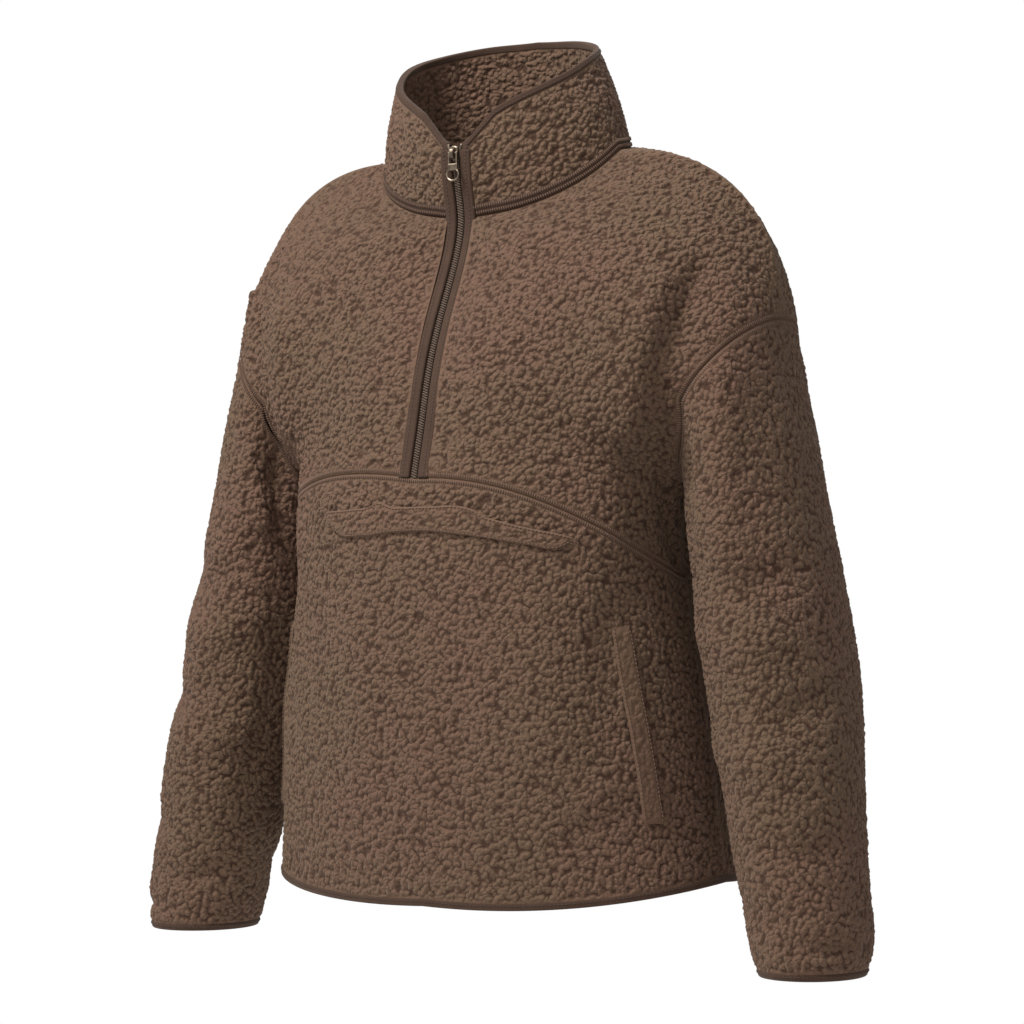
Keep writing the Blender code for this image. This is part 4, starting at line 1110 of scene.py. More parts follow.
@dataclass
class Panel:
    """A panel of fleece: a fine grid on the solid's form, with creases, seams and curls."""

    name: str
    grid: Array
    places: Array
    creases: tuple[Crease, ...]
    seams: list[Seam]
    node: str
    flat: tuple[float, float]
    area: float
    around: bool = False
    facing: float = 1.0
    normals: Array = field(default_factory=lambda: np.zeros(0))
    nap: Array = field(default_factory=lambda: np.zeros(0))

    def shape(self, armholes: Armholes | None = None) -> None:
        """Lays in the folds and creases, then the seams' grooves and the pile's height.

        Args:
            armholes: the seams that the cloth runs smoothly across.
        """
        self.normals = normals_of(self.grid, self.around)
        if armholes:
            self.normals = armholes.blended(self.grid, self.normals)
        lift = fold_lift(self.grid) + self.quiet_at_edges(crease_lift(self.places, self.creases))
        self.grid = self.grid + self.normals * lift[..., None]
        self.normals = normals_of(self.grid, self.around)
        self.nap = np.ones(self.grid.shape[:2])
        dip = np.zeros(self.grid.shape[:2])
        for seam in self.seams:
            axis, far = seam.edge.value
            away = lengths_from(self.grid, axis, far)
            low, high = seam.join.value
            flat = ease(away, low, high)
            along = np.linspace(0.0, 1.0, self.grid.shape[1 - axis])
            inside = ease(along, seam.start - 0.012, seam.start + 0.012)
            inside = inside * (1 - ease(along, seam.end - 0.012, seam.end + 0.012))
            if seam.start <= 0.0 and seam.end >= 1.0:
                inside = np.ones_like(along)
            inside = inside[None, :] if axis == 0 else inside[:, None]
            self.nap = self.nap * (1 - inside * (1 - flat))
            if seam.join is Join.TWIN:
                trough = np.exp(-(((away - seam.groove) / seam.groove_width) ** 2))
                middle = np.exp(-((away / seam.seam_width) ** 2))
                dip = dip + inside * (seam.groove_depth * trough + seam.seam_depth * middle)
        self.grid = self.grid - self.normals * dip[..., None] * self.facing

    def quiet_at_edges(self, lift: Array) -> Array:
        """Fades creases out at the panel's edges, so that seams still meet."""
        near = ease(lengths_from(self.grid, 0, False), 0.0, 0.018)
        near = near * ease(lengths_from(self.grid, 0, True), 0.0, 0.018)
        if not self.around:
            near = near * ease(lengths_from(self.grid, 1, False), 0.0, 0.018)
            near = near * ease(lengths_from(self.grid, 1, True), 0.0, 0.018)
        return lift * near

    def beside(self, edge: Edge, away: float) -> tuple[Array, Array]:
        """A line on the panel at a distance from one of its edges.

        Args:
            edge: the edge.
            away: the distance in metres.

        Returns:
            The line's points and the outward directions there.
        """
        axis, far = edge.value
        run = lengths_from(self.grid, axis, far)
        grid, normals = self.grid, self.normals
        if axis == 0:
            run, grid, normals = run.T, grid.swapaxes(0, 1), normals.swapaxes(0, 1)
        if far:
            run, grid, normals = run[:, ::-1], grid[:, ::-1], normals[:, ::-1]
        points, facing = [], []
        for line, place, normal in zip(run, grid, normals):
            points.append([np.interp(away, line, place[:, k]) for k in range(3)])
            facing.append([np.interp(away, line, normal[:, k]) for k in range(3)])
        return np.array(points), unit(np.array(facing))

    def build(self, shaper: bpy.types.NodeTree) -> Any:
        """Args:
            shaper: the node group that raises the curls.

        Returns:
            The object.
        """
        grid, nap = (self.grid[:, :-1], self.nap[:, :-1]) if self.around else (self.grid, self.nap)
        rows, columns = grid.shape[:2]
        faces = grid_faces(rows, columns, self.around)
        if self.facing < 0:
            faces = faces[:, ::-1]
        made = add_mesh(self.name, grid, faces, FLEECE)
        place = made.data.attributes.new("place", "FLOAT_VECTOR", "POINT")
        place.data.foreach_set("vector", grid.reshape(-1).astype(np.float32))
        height = made.data.attributes.new("nap", "FLOAT", "POINT")
        height.data.foreach_set("value", nap.reshape(-1).astype(np.float32))
        curls = made.modifiers.new("curls", "NODES")
        curls.node_group = shaper
        bpy.ops.object.select_all(action="DESELECT")
        bpy.context.view_layer.objects.active = made
        made.select_set(True)
        bpy.ops.object.modifier_apply(modifier=curls.name)
        made.select_set(False)
        if self.node:
            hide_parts(self.node)
        log.info("%s: %d faces", self.name, len(made.data.polygons))
        return made


def sheet_sizes(grid: Array) -> tuple[tuple[float, float], float]:
    """A grid's greatest width and length when laid flat, and its area."""
    across = np.linalg.norm(np.diff(grid, axis=1), axis=-1).sum(axis=1).max()
    up = np.linalg.norm(np.diff(grid, axis=0), axis=-1).sum(axis=0).max()
    a, b = grid[1:, 1:] - grid[:-1, :-1], grid[1:, :-1] - grid[:-1, 1:]
    area = float(np.linalg.norm(np.cross(a, b), axis=-1).sum() / 2)
    return (float(across), float(up)), min(area, float(across * up))


def sweep(points: Array, normals: Array, sides: Array, profile: Array) -> Array:
    """Rings of a bar along a line: profile gives each ring's steps sideways and out."""
    rings = points[:, None] + sides[:, None] * profile[None, :, :1]
    return rings + normals[:, None] * profile[None, :, 1:]


def bar_faces(count: int, sides: int, around: bool) -> list[tuple[int, ...]]:
    """Faces of a bar of rings, closed by caps where it isn't a loop.

    Args:
        count: how many rings.
        sides: how many points a ring has.
        around: the last ring joins the first.

    Returns:
        The faces.
    """
    number = np.arange(count * sides).reshape(count, sides)
    number = np.concatenate([number, number[:, :1]], axis=1)
    if around:
        number = np.concatenate([number, number[:1]], axis=0)
    quads = [number[:-1, :-1], number[:-1, 1:], number[1:, 1:], number[1:, :-1]]
    faces = [tuple(q) for q in np.stack(quads, axis=-1).reshape(-1, 4).tolist()]
    if not around:
        faces.append(tuple(range(sides - 1, -1, -1)))
        faces.append(tuple(range((count - 1) * sides, count * sides)))
    return faces


def rounded(low: float, high: float, bottom: float, top: float, soft: float, steps: int) -> Array:
    """A rounded box profile with its corners between low and high, bottom and top.

    Args:
        low, high: its reach sideways.
        bottom, top: its reach outwards.
        soft: the corners' radius.
        steps: how many edges a corner has.

    Returns:
        The profile's points.
    """
    corners = (
        (low + soft, bottom + soft, 180.0),
        (high - soft, bottom + soft, 270.0),
        (high - soft, top - soft, 0.0),
        (low + soft, top - soft, 90.0),
    )
    points = []
    for x, y, start in corners:
        for k in range(steps + 1):
            a = math.radians(start + 90.0 * k / steps)
            points.append((x + soft * math.cos(a), y + soft * math.sin(a)))
    return np.array(points)


def add_bar(name: str, rings: Array, around: bool, finish: Finish) -> Any:
    """Adds a bar of rings facing out, with a UV map that runs along it in metres.

    Args:
        name: the piece's name.
        rings: the rings' points.
        around: the bar is a loop.
        finish: its finish.

    Returns:
        The object.
    """
    count, sides = rings.shape[:2]
    faces = bar_faces(count, sides, around)
    middle = rings.mean(axis=1)
    run = np.concatenate([[0.0], np.cumsum(np.linalg.norm(np.diff(middle, axis=0), axis=1))])
    turn = np.linalg.norm(np.diff(rings[0], axis=0, append=rings[0][:1]), axis=1).cumsum()
    made = add_mesh(name, rings, [faces[0]], finish)
    mesh = made.data
    mesh.clear_geometry()
    mesh.from_pydata(rings.reshape(-1, 3).tolist(), [], faces)
    mesh.update()
    first = rings[0] - middle[0]
    second = rings[1] - rings[0]
    outward = np.cross(np.roll(first, -1, axis=0) - first, second)
    if np.sum(outward * first) < 0:
        mesh.flip_normals()
    mesh.shade_smooth()
    layer = mesh.uv_layers.new(name="run")
    index = np.zeros(len(mesh.loops), np.int32)
    mesh.loops.foreach_get("vertex_index", index)
    uv = np.stack([run[index // sides], turn[index % sides]], axis=-1)
    layer.data.foreach_set("uv", uv.astype(np.float32).reshape(-1))
    return made


@dataclass(frozen=True)
class Stitching:
    """Rows of stitches: small pinched beads of thread, end to end or side by side."""

    pitch: float = 0.0032
    length: float = 0.0024
    thick: float = 0.00050
    crosswise: bool = False
    sides: int = 4

    def beads(self, points: Array, normals: Array, around: bool) -> tuple[Array, list[Any]]:
        """One row's beads.

        Args:
            points: the row's line.
            normals: the outward directions along it.
            around: the row is a loop.

        Returns:
            The points of all beads and their faces.
        """
        if around:
            points = np.concatenate([points, points[:1]])
            normals = np.concatenate([normals, normals[:1]])
        run = np.concatenate([[0.0], np.cumsum(np.linalg.norm(np.diff(points, axis=0), axis=1))])
        middles = np.arange(self.pitch / 2, run[-1], self.pitch)
        stations = np.array([-0.5, -0.22, 0.22, 0.5])
        girth = np.array([0.35, 1.0, 1.0, 0.35])
        spread = stations * (0.0 if self.crosswise else self.length)
        at = middles[:, None] + spread[None]
        place = np.stack([np.interp(at, run, points[:, k]) for k in range(3)], axis=-1)
        out = unit(np.stack([np.interp(at, run, normals[:, k]) for k in range(3)], axis=-1))
        course = np.gradient(points, axis=0)
        along = unit(np.stack([np.interp(at, run, course[:, k]) for k in range(3)], axis=-1))
        side = unit(np.cross(along, out))
        if self.crosswise:
            place = place + side * (stations * self.length)[None, :, None]
            side = along
        turns = 2 * np.pi * (np.arange(self.sides) + 0.5) / self.sides
        reach = (self.thick * girth)[None, :, None, None]
        ring = side[:, :, None] * np.cos(turns)[:, None] + out[:, :, None] * np.sin(turns)[:, None]
        rings = place[:, :, None] + ring * reach
        faces: list[Any] = []
        pattern = bar_faces(len(stations), self.sides, False)
        if not self.crosswise:
            pattern = [face[::-1] for face in pattern]
        block = len(stations) * self.sides
        for i in range(len(middles)):
            faces += [tuple(v + i * block for v in face) for face in pattern]
        return rings.reshape(-1, 3), faces

    def sew(self, name: str, rows: list[tuple[Array, Array, bool]], thread: Thread) -> Any:
        """Adds several rows as one piece.

        Args:
            name: the piece's name.
            rows: each row's line, its outward directions and whether it is a loop.
            thread: the thread's finish.

        Returns:
            The object.
        """
        points, faces, count = [], [], 0
        for line, normals, around in rows:
            more, pattern = self.beads(line, normals, around)
            points.append(more)
            faces += [tuple(v + count for v in face) for face in pattern]
            count += len(more)
        made = bpy.data.meshes.new(name)
        made.from_pydata(np.concatenate(points).tolist(), [], faces)
        made.update()
        made.shade_smooth()
        made.materials.append(thread.material())
        piece = bpy.data.objects.new(name, made)
        bpy.context.scene.collection.objects.link(piece)
        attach(piece, "garment")
        log.info("%s: %d faces", name, len(faces))
        return piece


STITCHING = Stitching()
LADDER = Stitching(0.0020, 0.0030, 0.00050, True)


@dataclass
class Body:
    """The front, cut across by the yoke seam, and the back."""

    lower_rows: int = 190
    lower_columns: int = 360
    upper_rows: int = 240
    upper_columns: int = 165
    back_rows: int = 250
    back_columns: int = 230

    def panels(self) -> dict[str, Panel]:
        """The panels, not yet shaped."""
        made = [self.lower_front(), self.upper_front(True), self.upper_front(False)]
        made += [self.back_half(True), self.back_half(False)]
        return {panel.name: panel for panel in made}

    def lower_front(self) -> Panel:
        """Under the yoke seam, from side to side."""
        rows = np.linspace(0.0, CUT.yoke_row, self.lower_rows)
        shares = np.linspace(0.0, 1.0, self.lower_columns // 2)
        left = CUT.half_panel(True, CUT.yoke_left, rows, shares)
        right = mirrored(CUT.half_panel(True, CUT.yoke_right, rows, shares))
        grid = np.concatenate([right[:, :-1], left], axis=1)
        seams = [
            Seam(Edge.LOW, Join.BOUND),
            Seam(Edge.HIGH, Join.TWIN),
            Seam(Edge.START, Join.PLAIN),
            Seam(Edge.END, Join.PLAIN),
        ]
        return self.panel("fleece_lower_front", grid, FRONT_CREASES, seams, "lower_front")

    def upper_front(self, left: bool) -> Panel:
        """Over the yoke seam, on one side of the zip.

        Args:
            left: the wearer's left side.

        Returns:
            The panel.
        """
        rows = np.linspace(CUT.yoke_row, CUT.top_row, self.upper_rows)
        side = CUT.yoke_left if left else CUT.yoke_right
        grid = CUT.half_panel(True, side, rows, CUT.zip_shares(rows, side, self.upper_columns))
        armpit = (CUT.armpit_row - CUT.yoke_row) / (CUT.top_row - CUT.yoke_row)
        middle, arm = (Edge.START, Edge.END) if left else (Edge.END, Edge.START)
        seams = [
            Seam(Edge.LOW, Join.TWIN),
            Seam(Edge.HIGH, Join.PLAIN),
            Seam(middle, Join.BOUND),
            Seam(arm, Join.PLAIN, 0.0, armpit),
            Seam(arm, Join.TWIN, armpit, 1.02),
        ]
        name = "left" if left else "right"
        grid = grid if left else mirrored(grid)
        node = f"upper_front_{name}"
        return self.panel(f"fleece_upper_front_{name}", grid, FRONT_CREASES, seams, node)

    def back_half(self, left: bool) -> Panel:
        """One half of the back, which is cut in one piece.

        Args:
            left: the wearer's left side.

        Returns:
            The panel.
        """
        rows = np.linspace(0.0, CUT.top_row, self.back_rows)
        side = CUT.yoke_left if left else CUT.yoke_right
        shares = np.linspace(0.0, 1.0, self.back_columns // 2)
        grid = CUT.half_panel(False, side, rows, shares)[:, ::-1]
        armpit = CUT.armpit_row / CUT.top_row
        neck = CUT.neck_row / CUT.top_row
        arm, middle = (Edge.START, Edge.END) if left else (Edge.END, Edge.START)
        seams = [
            Seam(Edge.LOW, Join.BOUND),
            Seam(Edge.HIGH, Join.PLAIN),
            Seam(arm, Join.PLAIN, 0.0, armpit),
            Seam(arm, Join.TWIN, armpit, 1.02),
            Seam(middle, Join.BOUND, neck, 1.02),
        ]
        name = "left" if left else "right"
        grid = grid if left else mirrored(grid)
        return self.panel(f"fleece_back_{name}", grid, BACK_CREASES, seams, "back")

    def panel(self, name: str, grid: Array, creases: Any, seams: list[Seam], node: str) -> Panel:
        """A panel of the body, with its flat size measured off the form."""
        flat, area = sheet_sizes(grid)
        places = grid[..., (0, 2)]
        return Panel(name, grid, places, creases, seams, node, flat, area)


@dataclass
class Sleeve:
    """One sleeve, a tube from the armhole to the cuff."""

    left: bool
    rows: int = 250
    columns: int = 232

    def panel(self) -> Panel:
        """The sleeve's panel, not yet shaped."""
        angles = np.linspace(0.0, 360.0, self.columns)
        shares = np.linspace(0.0, 1.0, self.rows)
        end = (CUT.cuff_left if self.left else CUT.cuff_right) + CUT.binding
        grid = CUT.sleeve_point(angles[None, :], shares[:, None], end)
        flat, area = sheet_sizes(grid)
        round_the_tube = np.broadcast_to(angles[None, :], grid.shape[:2]).copy()
        if not self.left:
            grid = mirrored(grid)
            round_the_tube = round_the_tube[:, ::-1]
        seams = [Seam(Edge.LOW, Join.TWIN), Seam(Edge.HIGH, Join.BOUND)]
        places = np.stack([round_the_tube * DEGREE, grid[..., 2]], axis=-1)
        creases = tuple(
            Crease(tuple((turn * DEGREE, z) for turn, z in c.line), c.width, c.depth)
            for c in SLEEVE_CREASES
        )
        name = "left" if self.left else "right"
        piece, node = f"fleece_sleeve_{name}", f"sleeve_{name}"
        return Panel(piece, grid, places, creases, seams, node, flat, area, True)


# Which edge of each body panel holds its armhole
ARM_EDGES = (
    ("fleece_upper_front_left", Edge.END),
    ("fleece_upper_front_right", Edge.START),
    ("fleece_back_left", Edge.START),
    ("fleece_back_right", Edge.END),
)


def raised(line: Array, normals: Array) -> tuple[Array, Array, bool]:
    """An open stitch row that stands just clear of its cloth."""
    return line + normals * 0.0008, normals, False


def armholes_of(panels: dict[str, Panel], sleeves: dict[bool, Panel]) -> Armholes:
    """The armhole seams of the unshaped panels.

    Args:
        panels: the body's panels by name.
        sleeves: the sleeves, the left one under True.

    Returns:
        The seams.
    """
    points, facing = [], []
    for name, edge in ARM_EDGES:
        panel = panels[name]
        column = -1 if edge is Edge.END else 0
        points.append(panel.grid[:, column])
        facing.append(normals_of(panel.grid, False)[:, column])
    body, body_ways = np.concatenate(points), np.concatenate(facing)
    seam, ways = [], []
    for sleeve in sleeves.values():
        line, out = sleeve.grid[0], normals_of(sleeve.grid, True)[0]
        nearest = np.linalg.norm(line[:, None] - body[None], axis=-1).argmin(axis=1)
        seam.append(line)
        ways.append(unit(out + body_ways[nearest]))
    return Armholes(np.concatenate(seam), np.concatenate(ways))


# What a degree round a sleeve is along its cloth, in metres
DEGREE = 0.0011


@dataclass
class Collar:
    """The stand-up collar: an outer layer of fleece, and an inner one turned in at its foot."""

    rows: int = 66
    columns: int = 300
    turned_in: float = 0.0050

    def grid(self) -> Array:
        """The outer layer's points, from the zip's left side round to its right side."""
        angles = np.linspace(0.0, 360.0, self.columns)
        shares = np.linspace(0.0, 1.0, self.rows)
        grid = CUT.collar_point(angles[None, :], shares[:, None])
        for row in grid:
            for ends in (row, row[::-1]):
                near = np.abs(ends[:40, 0])
                count = int(np.searchsorted(near, CUT.zip_edge))
                share = (CUT.zip_edge - near[count - 1]) / (near[count] - near[count - 1])
                edge = ends[count - 1] + (ends[count] - ends[count - 1]) * share
                spread = np.linspace(0.0, 1.0, 20)[:, None]
                ends[:20] = edge + (ends[19].copy() - edge) * spread
        return grid

    def panels(self) -> list[Panel]:
        """Both layers, shaped but not yet built."""
        grid = self.grid()
        flat, area = sheet_sizes(grid)
        seams = [
            Seam(Edge.LOW, Join.BOUND),
            Seam(Edge.HIGH, Join.BOUND),
            Seam(Edge.START, Join.BOUND),
            Seam(Edge.END, Join.BOUND),
        ]
        places = grid[..., (0, 2)]
        outer = Panel("fleece_collar", grid, places, (), seams, "collar", flat, area)
        outer.shape()
        inner_grid = outer.grid - outer.normals * CUT.collar_cloth
        inner_grid[0] += unit(inner_grid[0] - inner_grid[1]) * self.turned_in
        inner = Panel(
            "fleece_collar_inside", inner_grid, places, (), seams, "", flat, area, False, -1.0
        )
        inner.normals = outer.normals
        inner.nap = outer.nap * 0.9
        return [outer, inner]


@dataclass
class Linings:
    """The knit back of the fleece, seen through the openings; the back's halves lap over."""

    stride: int = 5
    deep: float = 0.0032
    lap: float = 0.0015

    def kept(self, count: int) -> list[int]:
        """Which of a grid's lines the inside takes over: every few, and the last."""
        return list(range(0, count - 1, self.stride)) + [count - 1]

    def build(self, panels: list[Panel]) -> None:
        """Adds the inside of each panel, a cloth's thickness in from it and facing in.

        Args:
            panels: the panels to line.
        """
        for panel in panels:
            rows, columns = panel.grid.shape[:2]
            kept = np.ix_(self.kept(rows), self.kept(columns))
            inner = panel.grid[kept] - panel.normals[kept] * self.deep
            if panel.node == "back":
                middle = np.abs(inner[..., 0]) < self.lap / 2
                inner[middle, 0] -= self.lap * np.sign(inner[..., 0].mean())
            if panel.around:
                inner = inner[:, :-1]
            faces = grid_faces(inner.shape[0], inner.shape[1], panel.around)[:, ::-1]
            made = add_mesh(panel.name.replace("fleece", "inside"), inner, faces, BACKING)


@dataclass
class Bindings:
    """Narrow knit bindings round the raw edges, each with a row of stitches."""

    wide: float = 0.0055
    proud: float = 0.0006
    soft: float = 0.0014
    steps: int = 4
    down: int = 9
    fan: int = 9
    lip: float = 0.0006
    stitch_off: float = 0.0013
    beside: float = 0.006

    def ring_line(self, panels: list[Panel], edge: Edge) -> tuple[Array, Array, Array]:
        """A raw edge's points, the outward directions and those off the cloth.

        Args:
            panels: the panels along the edge, in order.
            edge: which of their edges it is.

        Returns:
            The points, the outward directions and those off the cloth.
        """
        points, normals, offs = [], [], []
        for panel in panels:
            line, facing = panel.beside(edge, 0.0)
            inside, _ = panel.beside(edge, self.beside)
            off = unit(line - inside)
            off = unit(off - facing * np.sum(off * facing, axis=1, keepdims=True))
            last = len(line) if panel.name == "fleece_collar" else -1
            points.append(line[:last])
            normals.append(facing[:last])
            offs.append(off[:last])
        return np.concatenate(points), np.concatenate(normals), np.concatenate(offs)

    def turned_down(self, line: Any) -> tuple[Array, Array, Array]:
        """The collar's edge, with both ends turned down beside the zip in a round corner.

        Args:
            line: the edge's points, outward directions and directions off the cloth.

        Returns:
            The longer line, in the same three parts.
        """
        points, normals, offs = line
        middle, out = Zip().fine_line(Zip.step)
        middle, out = middle[-self.down :], out[-self.down :]
        turn = np.linspace(0.0, 1.0, self.fan)[:, None]
        for sign in (1.0, -1.0):
            side = np.array([-sign, 0.0, 0.0])
            way = (points, normals, offs) if sign > 0 else tuple(v[::-1] for v in line)
            first, facing, up = way[0][0], way[1][0], way[2][0]
            beside = middle - side * abs(first[0])
            sink = np.linspace(-0.0012, 0.0005, len(beside))[:, None]
            corner = np.repeat(first[None], self.fan, axis=0)
            sides = np.repeat(side[None], len(out) - 1, axis=0)
            down = (
                np.concatenate([beside[:-1] + out[:-1] * sink[:-1], corner]),
                np.concatenate([out[:-1], unit(out[-1] + (facing - out[-1]) * turn)]),
                np.concatenate([sides, unit(side + (up - side) * turn)]),
            )
            if sign > 0:
                points, normals, offs = (np.concatenate([a, b[1:]]) for a, b in zip(down, way))
            else:
                tail = [a[::-1] for a in down]
                points = np.concatenate([points[:-1], tail[0]])
                normals = np.concatenate([normals[:-1], tail[1]])
                offs = np.concatenate([offs[:-1], tail[2]])
        return points, normals, offs

    def add(self, name: str, line: Any, wall: float, around: bool, node: str) -> list[Any]:
        """Adds a binding round an edge.

        Args:
            name: the piece's name.
            line: the edge's points, outward directions and directions off the cloth.
            wall: the cloth's thickness.
            around: the edge is a loop.
            node: the solid that the binding stands for.

        Returns:
            The line of its row of stitches.
        """
        points, normals, offs = line
        normals = self.evened(normals, around)
        offs = self.evened(offs, around)
        top = self.proud + 0.0004
        profile = rounded(-self.lip, self.wide, -wall - self.proud, top, self.soft, self.steps)
        made = add_bar(name, sweep(points, normals, offs, profile), around, JERSEY)
        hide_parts(node)
        log.info("%s: %d faces", name, len(made.data.polygons))
        row = points + offs * self.stitch_off + normals * (self.proud + 0.0005)
        return [(row, normals, around)]

    def evened(self, directions: Array, around: bool) -> Array:
        """Directions smoothed a little along the edge."""
        for _ in range(6):
            if around:
                before, after = np.roll(directions, 1, axis=0), np.roll(directions, -1, axis=0)
                directions = unit(before + 2 * directions + after)
            else:
                middle = directions[:-2] + 2 * directions[1:-1] + directions[2:]
                directions = np.concatenate([directions[:1], unit(middle), directions[-1:]])
        return directions


@dataclass
class NeckBand:
    """The flat band sewn round the foot of the collar with two rows of stitches."""

    start: float = 0.0006
    wide: float = 0.0096
    proud: float = 0.0014
    groove: float = 0.0007

    def build(self, collar: Panel) -> list[Any]:
        """Adds the band and returns its two rows' lines.

        Args:
            collar: the panel whose foot it lies on.

        Returns:
            The lines of its two rows of stitches.
        """
        places = np.linspace(0.0, 1.0, 9)
        lines, normals = [], []
        for share in places:
            line, facing = collar.beside(Edge.LOW, self.start + self.wide * share)
            swell = self.proud * (1 - abs(2 * share - 1) ** 3 * 0.75)
            dips = sum(math.exp(-(((share - dip) / 0.10) ** 2)) for dip in (0.5, 1.0))
            lines.append(line + facing * (swell - self.groove * dips))
            normals.append(facing)
        grid = np.array(lines)
        made = add_mesh("neck_tape", grid, grid_faces(*grid.shape[:2]), JERSEY)
        layer = made.data.uv_layers.new(name="run")
        run = lengths_from(grid, 1, False).reshape(-1)
        up = np.repeat(places * self.wide, grid.shape[1])
        index = np.zeros(len(made.data.loops), np.int32)
        made.data.loops.foreach_get("vertex_index", index)
        uv = np.stack([run[index], up[index]], axis=-1)
        layer.data.foreach_set("uv", uv.astype(np.float32).reshape(-1))
        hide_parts("neck_band")
        flat, _ = sheet_sizes(grid)
        return [(lines[row] + normals[row] * 0.0003, normals[row], False) for row in (2, 6)]


@dataclass
class Zip:
    """The zip: two facings, the tape behind them, the coil between them and its metal stops."""

    inner: float = 0.0040
    outer: float = 0.0141
    depth: float = 0.0026
    tape: float = 0.0009
    tape_half: float = 0.0105
    pitch: float = 0.0021
    coil_half: float = 0.0015
    coil_high: float = 0.0012
    wire: float = 0.00060
    stop: tuple[float, float, float] = (0.0020, 0.0017, 0.0052)
    stop_out: float = 0.0056
    stop_up: float = 0.0019
    stop_lean: float = 16.0
    stop_bevel: float = 0.0005
    proud: float = 0.0010
    soft: float = 0.0016
    step: float = 0.0020
    stitch: float = 0.0098
    gap: float = 0.0003
    coil_apart: float = 0.0011
    coil_turns: int = 9
    coil_sides: int = 4

    def fine_line(self, step: float) -> tuple[Array, Array]:
        """The zip's line again with points a step apart, and the outward directions."""
        points, _, out = CUT.zip_line()
        run = np.concatenate([[0.0], np.cumsum(np.linalg.norm(np.diff(points, axis=0), axis=1))])
        at = np.arange(0.0, run[-1], step)
        line = np.stack([smooth(run, points[:, k], at) for k in range(3)], axis=-1)
        facing = np.stack([smooth(run, out[:, k], at) for k in range(3)], axis=-1)
        return line, unit(facing)

    def build(self) -> list[Any]:
        """Adds the zip's pieces and returns the stitch rows of its bindings."""
        line, out = self.fine_line(self.step)
        across = np.tile(np.array([1.0, 0.0, 0.0]), (len(line), 1))
        rows = []
        for side, sign in (("left", 1.0), ("right", -1.0)):
            low, high = sorted((sign * self.inner, sign * self.outer))
            profile = rounded(low, high, -self.depth, self.proud, self.soft, 4)
            made = add_bar(
                f"zip_facing_{side}", sweep(line, out, across, profile), False, JERSEY
            )
            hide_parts(f"zip_binding_{side}")
            row = line + across * sign * self.stitch + out * 0.0011
            rows.append((row, out, False))
        low, high = -self.depth - self.gap - self.tape, -self.depth - self.gap
        profile = rounded(-self.tape_half, self.tape_half, low, high, self.gap, 2)
        made = add_bar("zip_tape_woven", sweep(line, out, across, profile), False, JERSEY)
        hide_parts("zip_tape")
        self.coils()
        self.stops()
        return rows

    def stops(self) -> None:
        """The metal stops on the coil's two open ends, leaning apart above the slider."""
        line, _ = self.fine_line(self.step)
        for side, sign in (("left", 1.0), ("right", -1.0)):
            place = line[-1] + np.array([sign * self.stop_out, -0.0006, self.stop_up])
            lean = (0.0, math.radians(sign * self.stop_lean), 0.0)
            bpy.ops.mesh.primitive_cube_add(
                size=1.0, location=place, rotation=lean, scale=self.stop
            )
            made = bpy.context.object
            made.name = made.data.name = f"zip_stop_{side}"
            bpy.ops.object.transform_apply()
            made.data.materials.append(BRONZE.material())
            bevel = made.modifiers.new("bevel", "BEVEL")
            bevel.width, bevel.segments = self.stop_bevel, 3
            bpy.ops.object.modifier_apply(modifier=bevel.name)
            made.data.shade_smooth()
            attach(made, "garment")
            log.info("%s: %d faces", made.name, len(made.data.polygons))

    def coils(self) -> None:
        """The two coils, each a flattened spiral of nylon that the other one's loops mesh with."""
        turns, sides = self.coil_turns, self.coil_sides
        line, out = self.fine_line(self.pitch / turns)
        across = np.array([1.0, 0.0, 0.0])
        phase = 2 * np.pi * np.arange(len(line)) / turns
        for side, sign in (("left", 1.0), ("right", -1.0)):
            shift = phase + (0.0 if sign > 0 else np.pi)
            sway = (sign * self.coil_apart + self.coil_half * np.cos(shift))[:, None]
            wave = self.coil_high * np.sin(shift) * 0.75
            rise = (-self.depth + self.coil_high + 0.0004 + wave)[:, None]
            path = line + across * sway + out * rise
            along = unit(np.gradient(path, axis=0))
            side_way = unit(np.cross(along, out))
            up_way = np.cross(side_way, along)
            a = 2 * np.pi * np.arange(sides) / sides
            ring = side_way[:, None] * np.cos(a)[:, None] + up_way[:, None] * np.sin(a)[:, None]
            made = add_bar(f"zip_coil_{side}", path[:, None] + ring * self.wire, False, NYLON)
            if sign > 0:
                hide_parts("zip_chain")
            log.info("zip coil %s: %d faces", side, len(made.data.polygons))


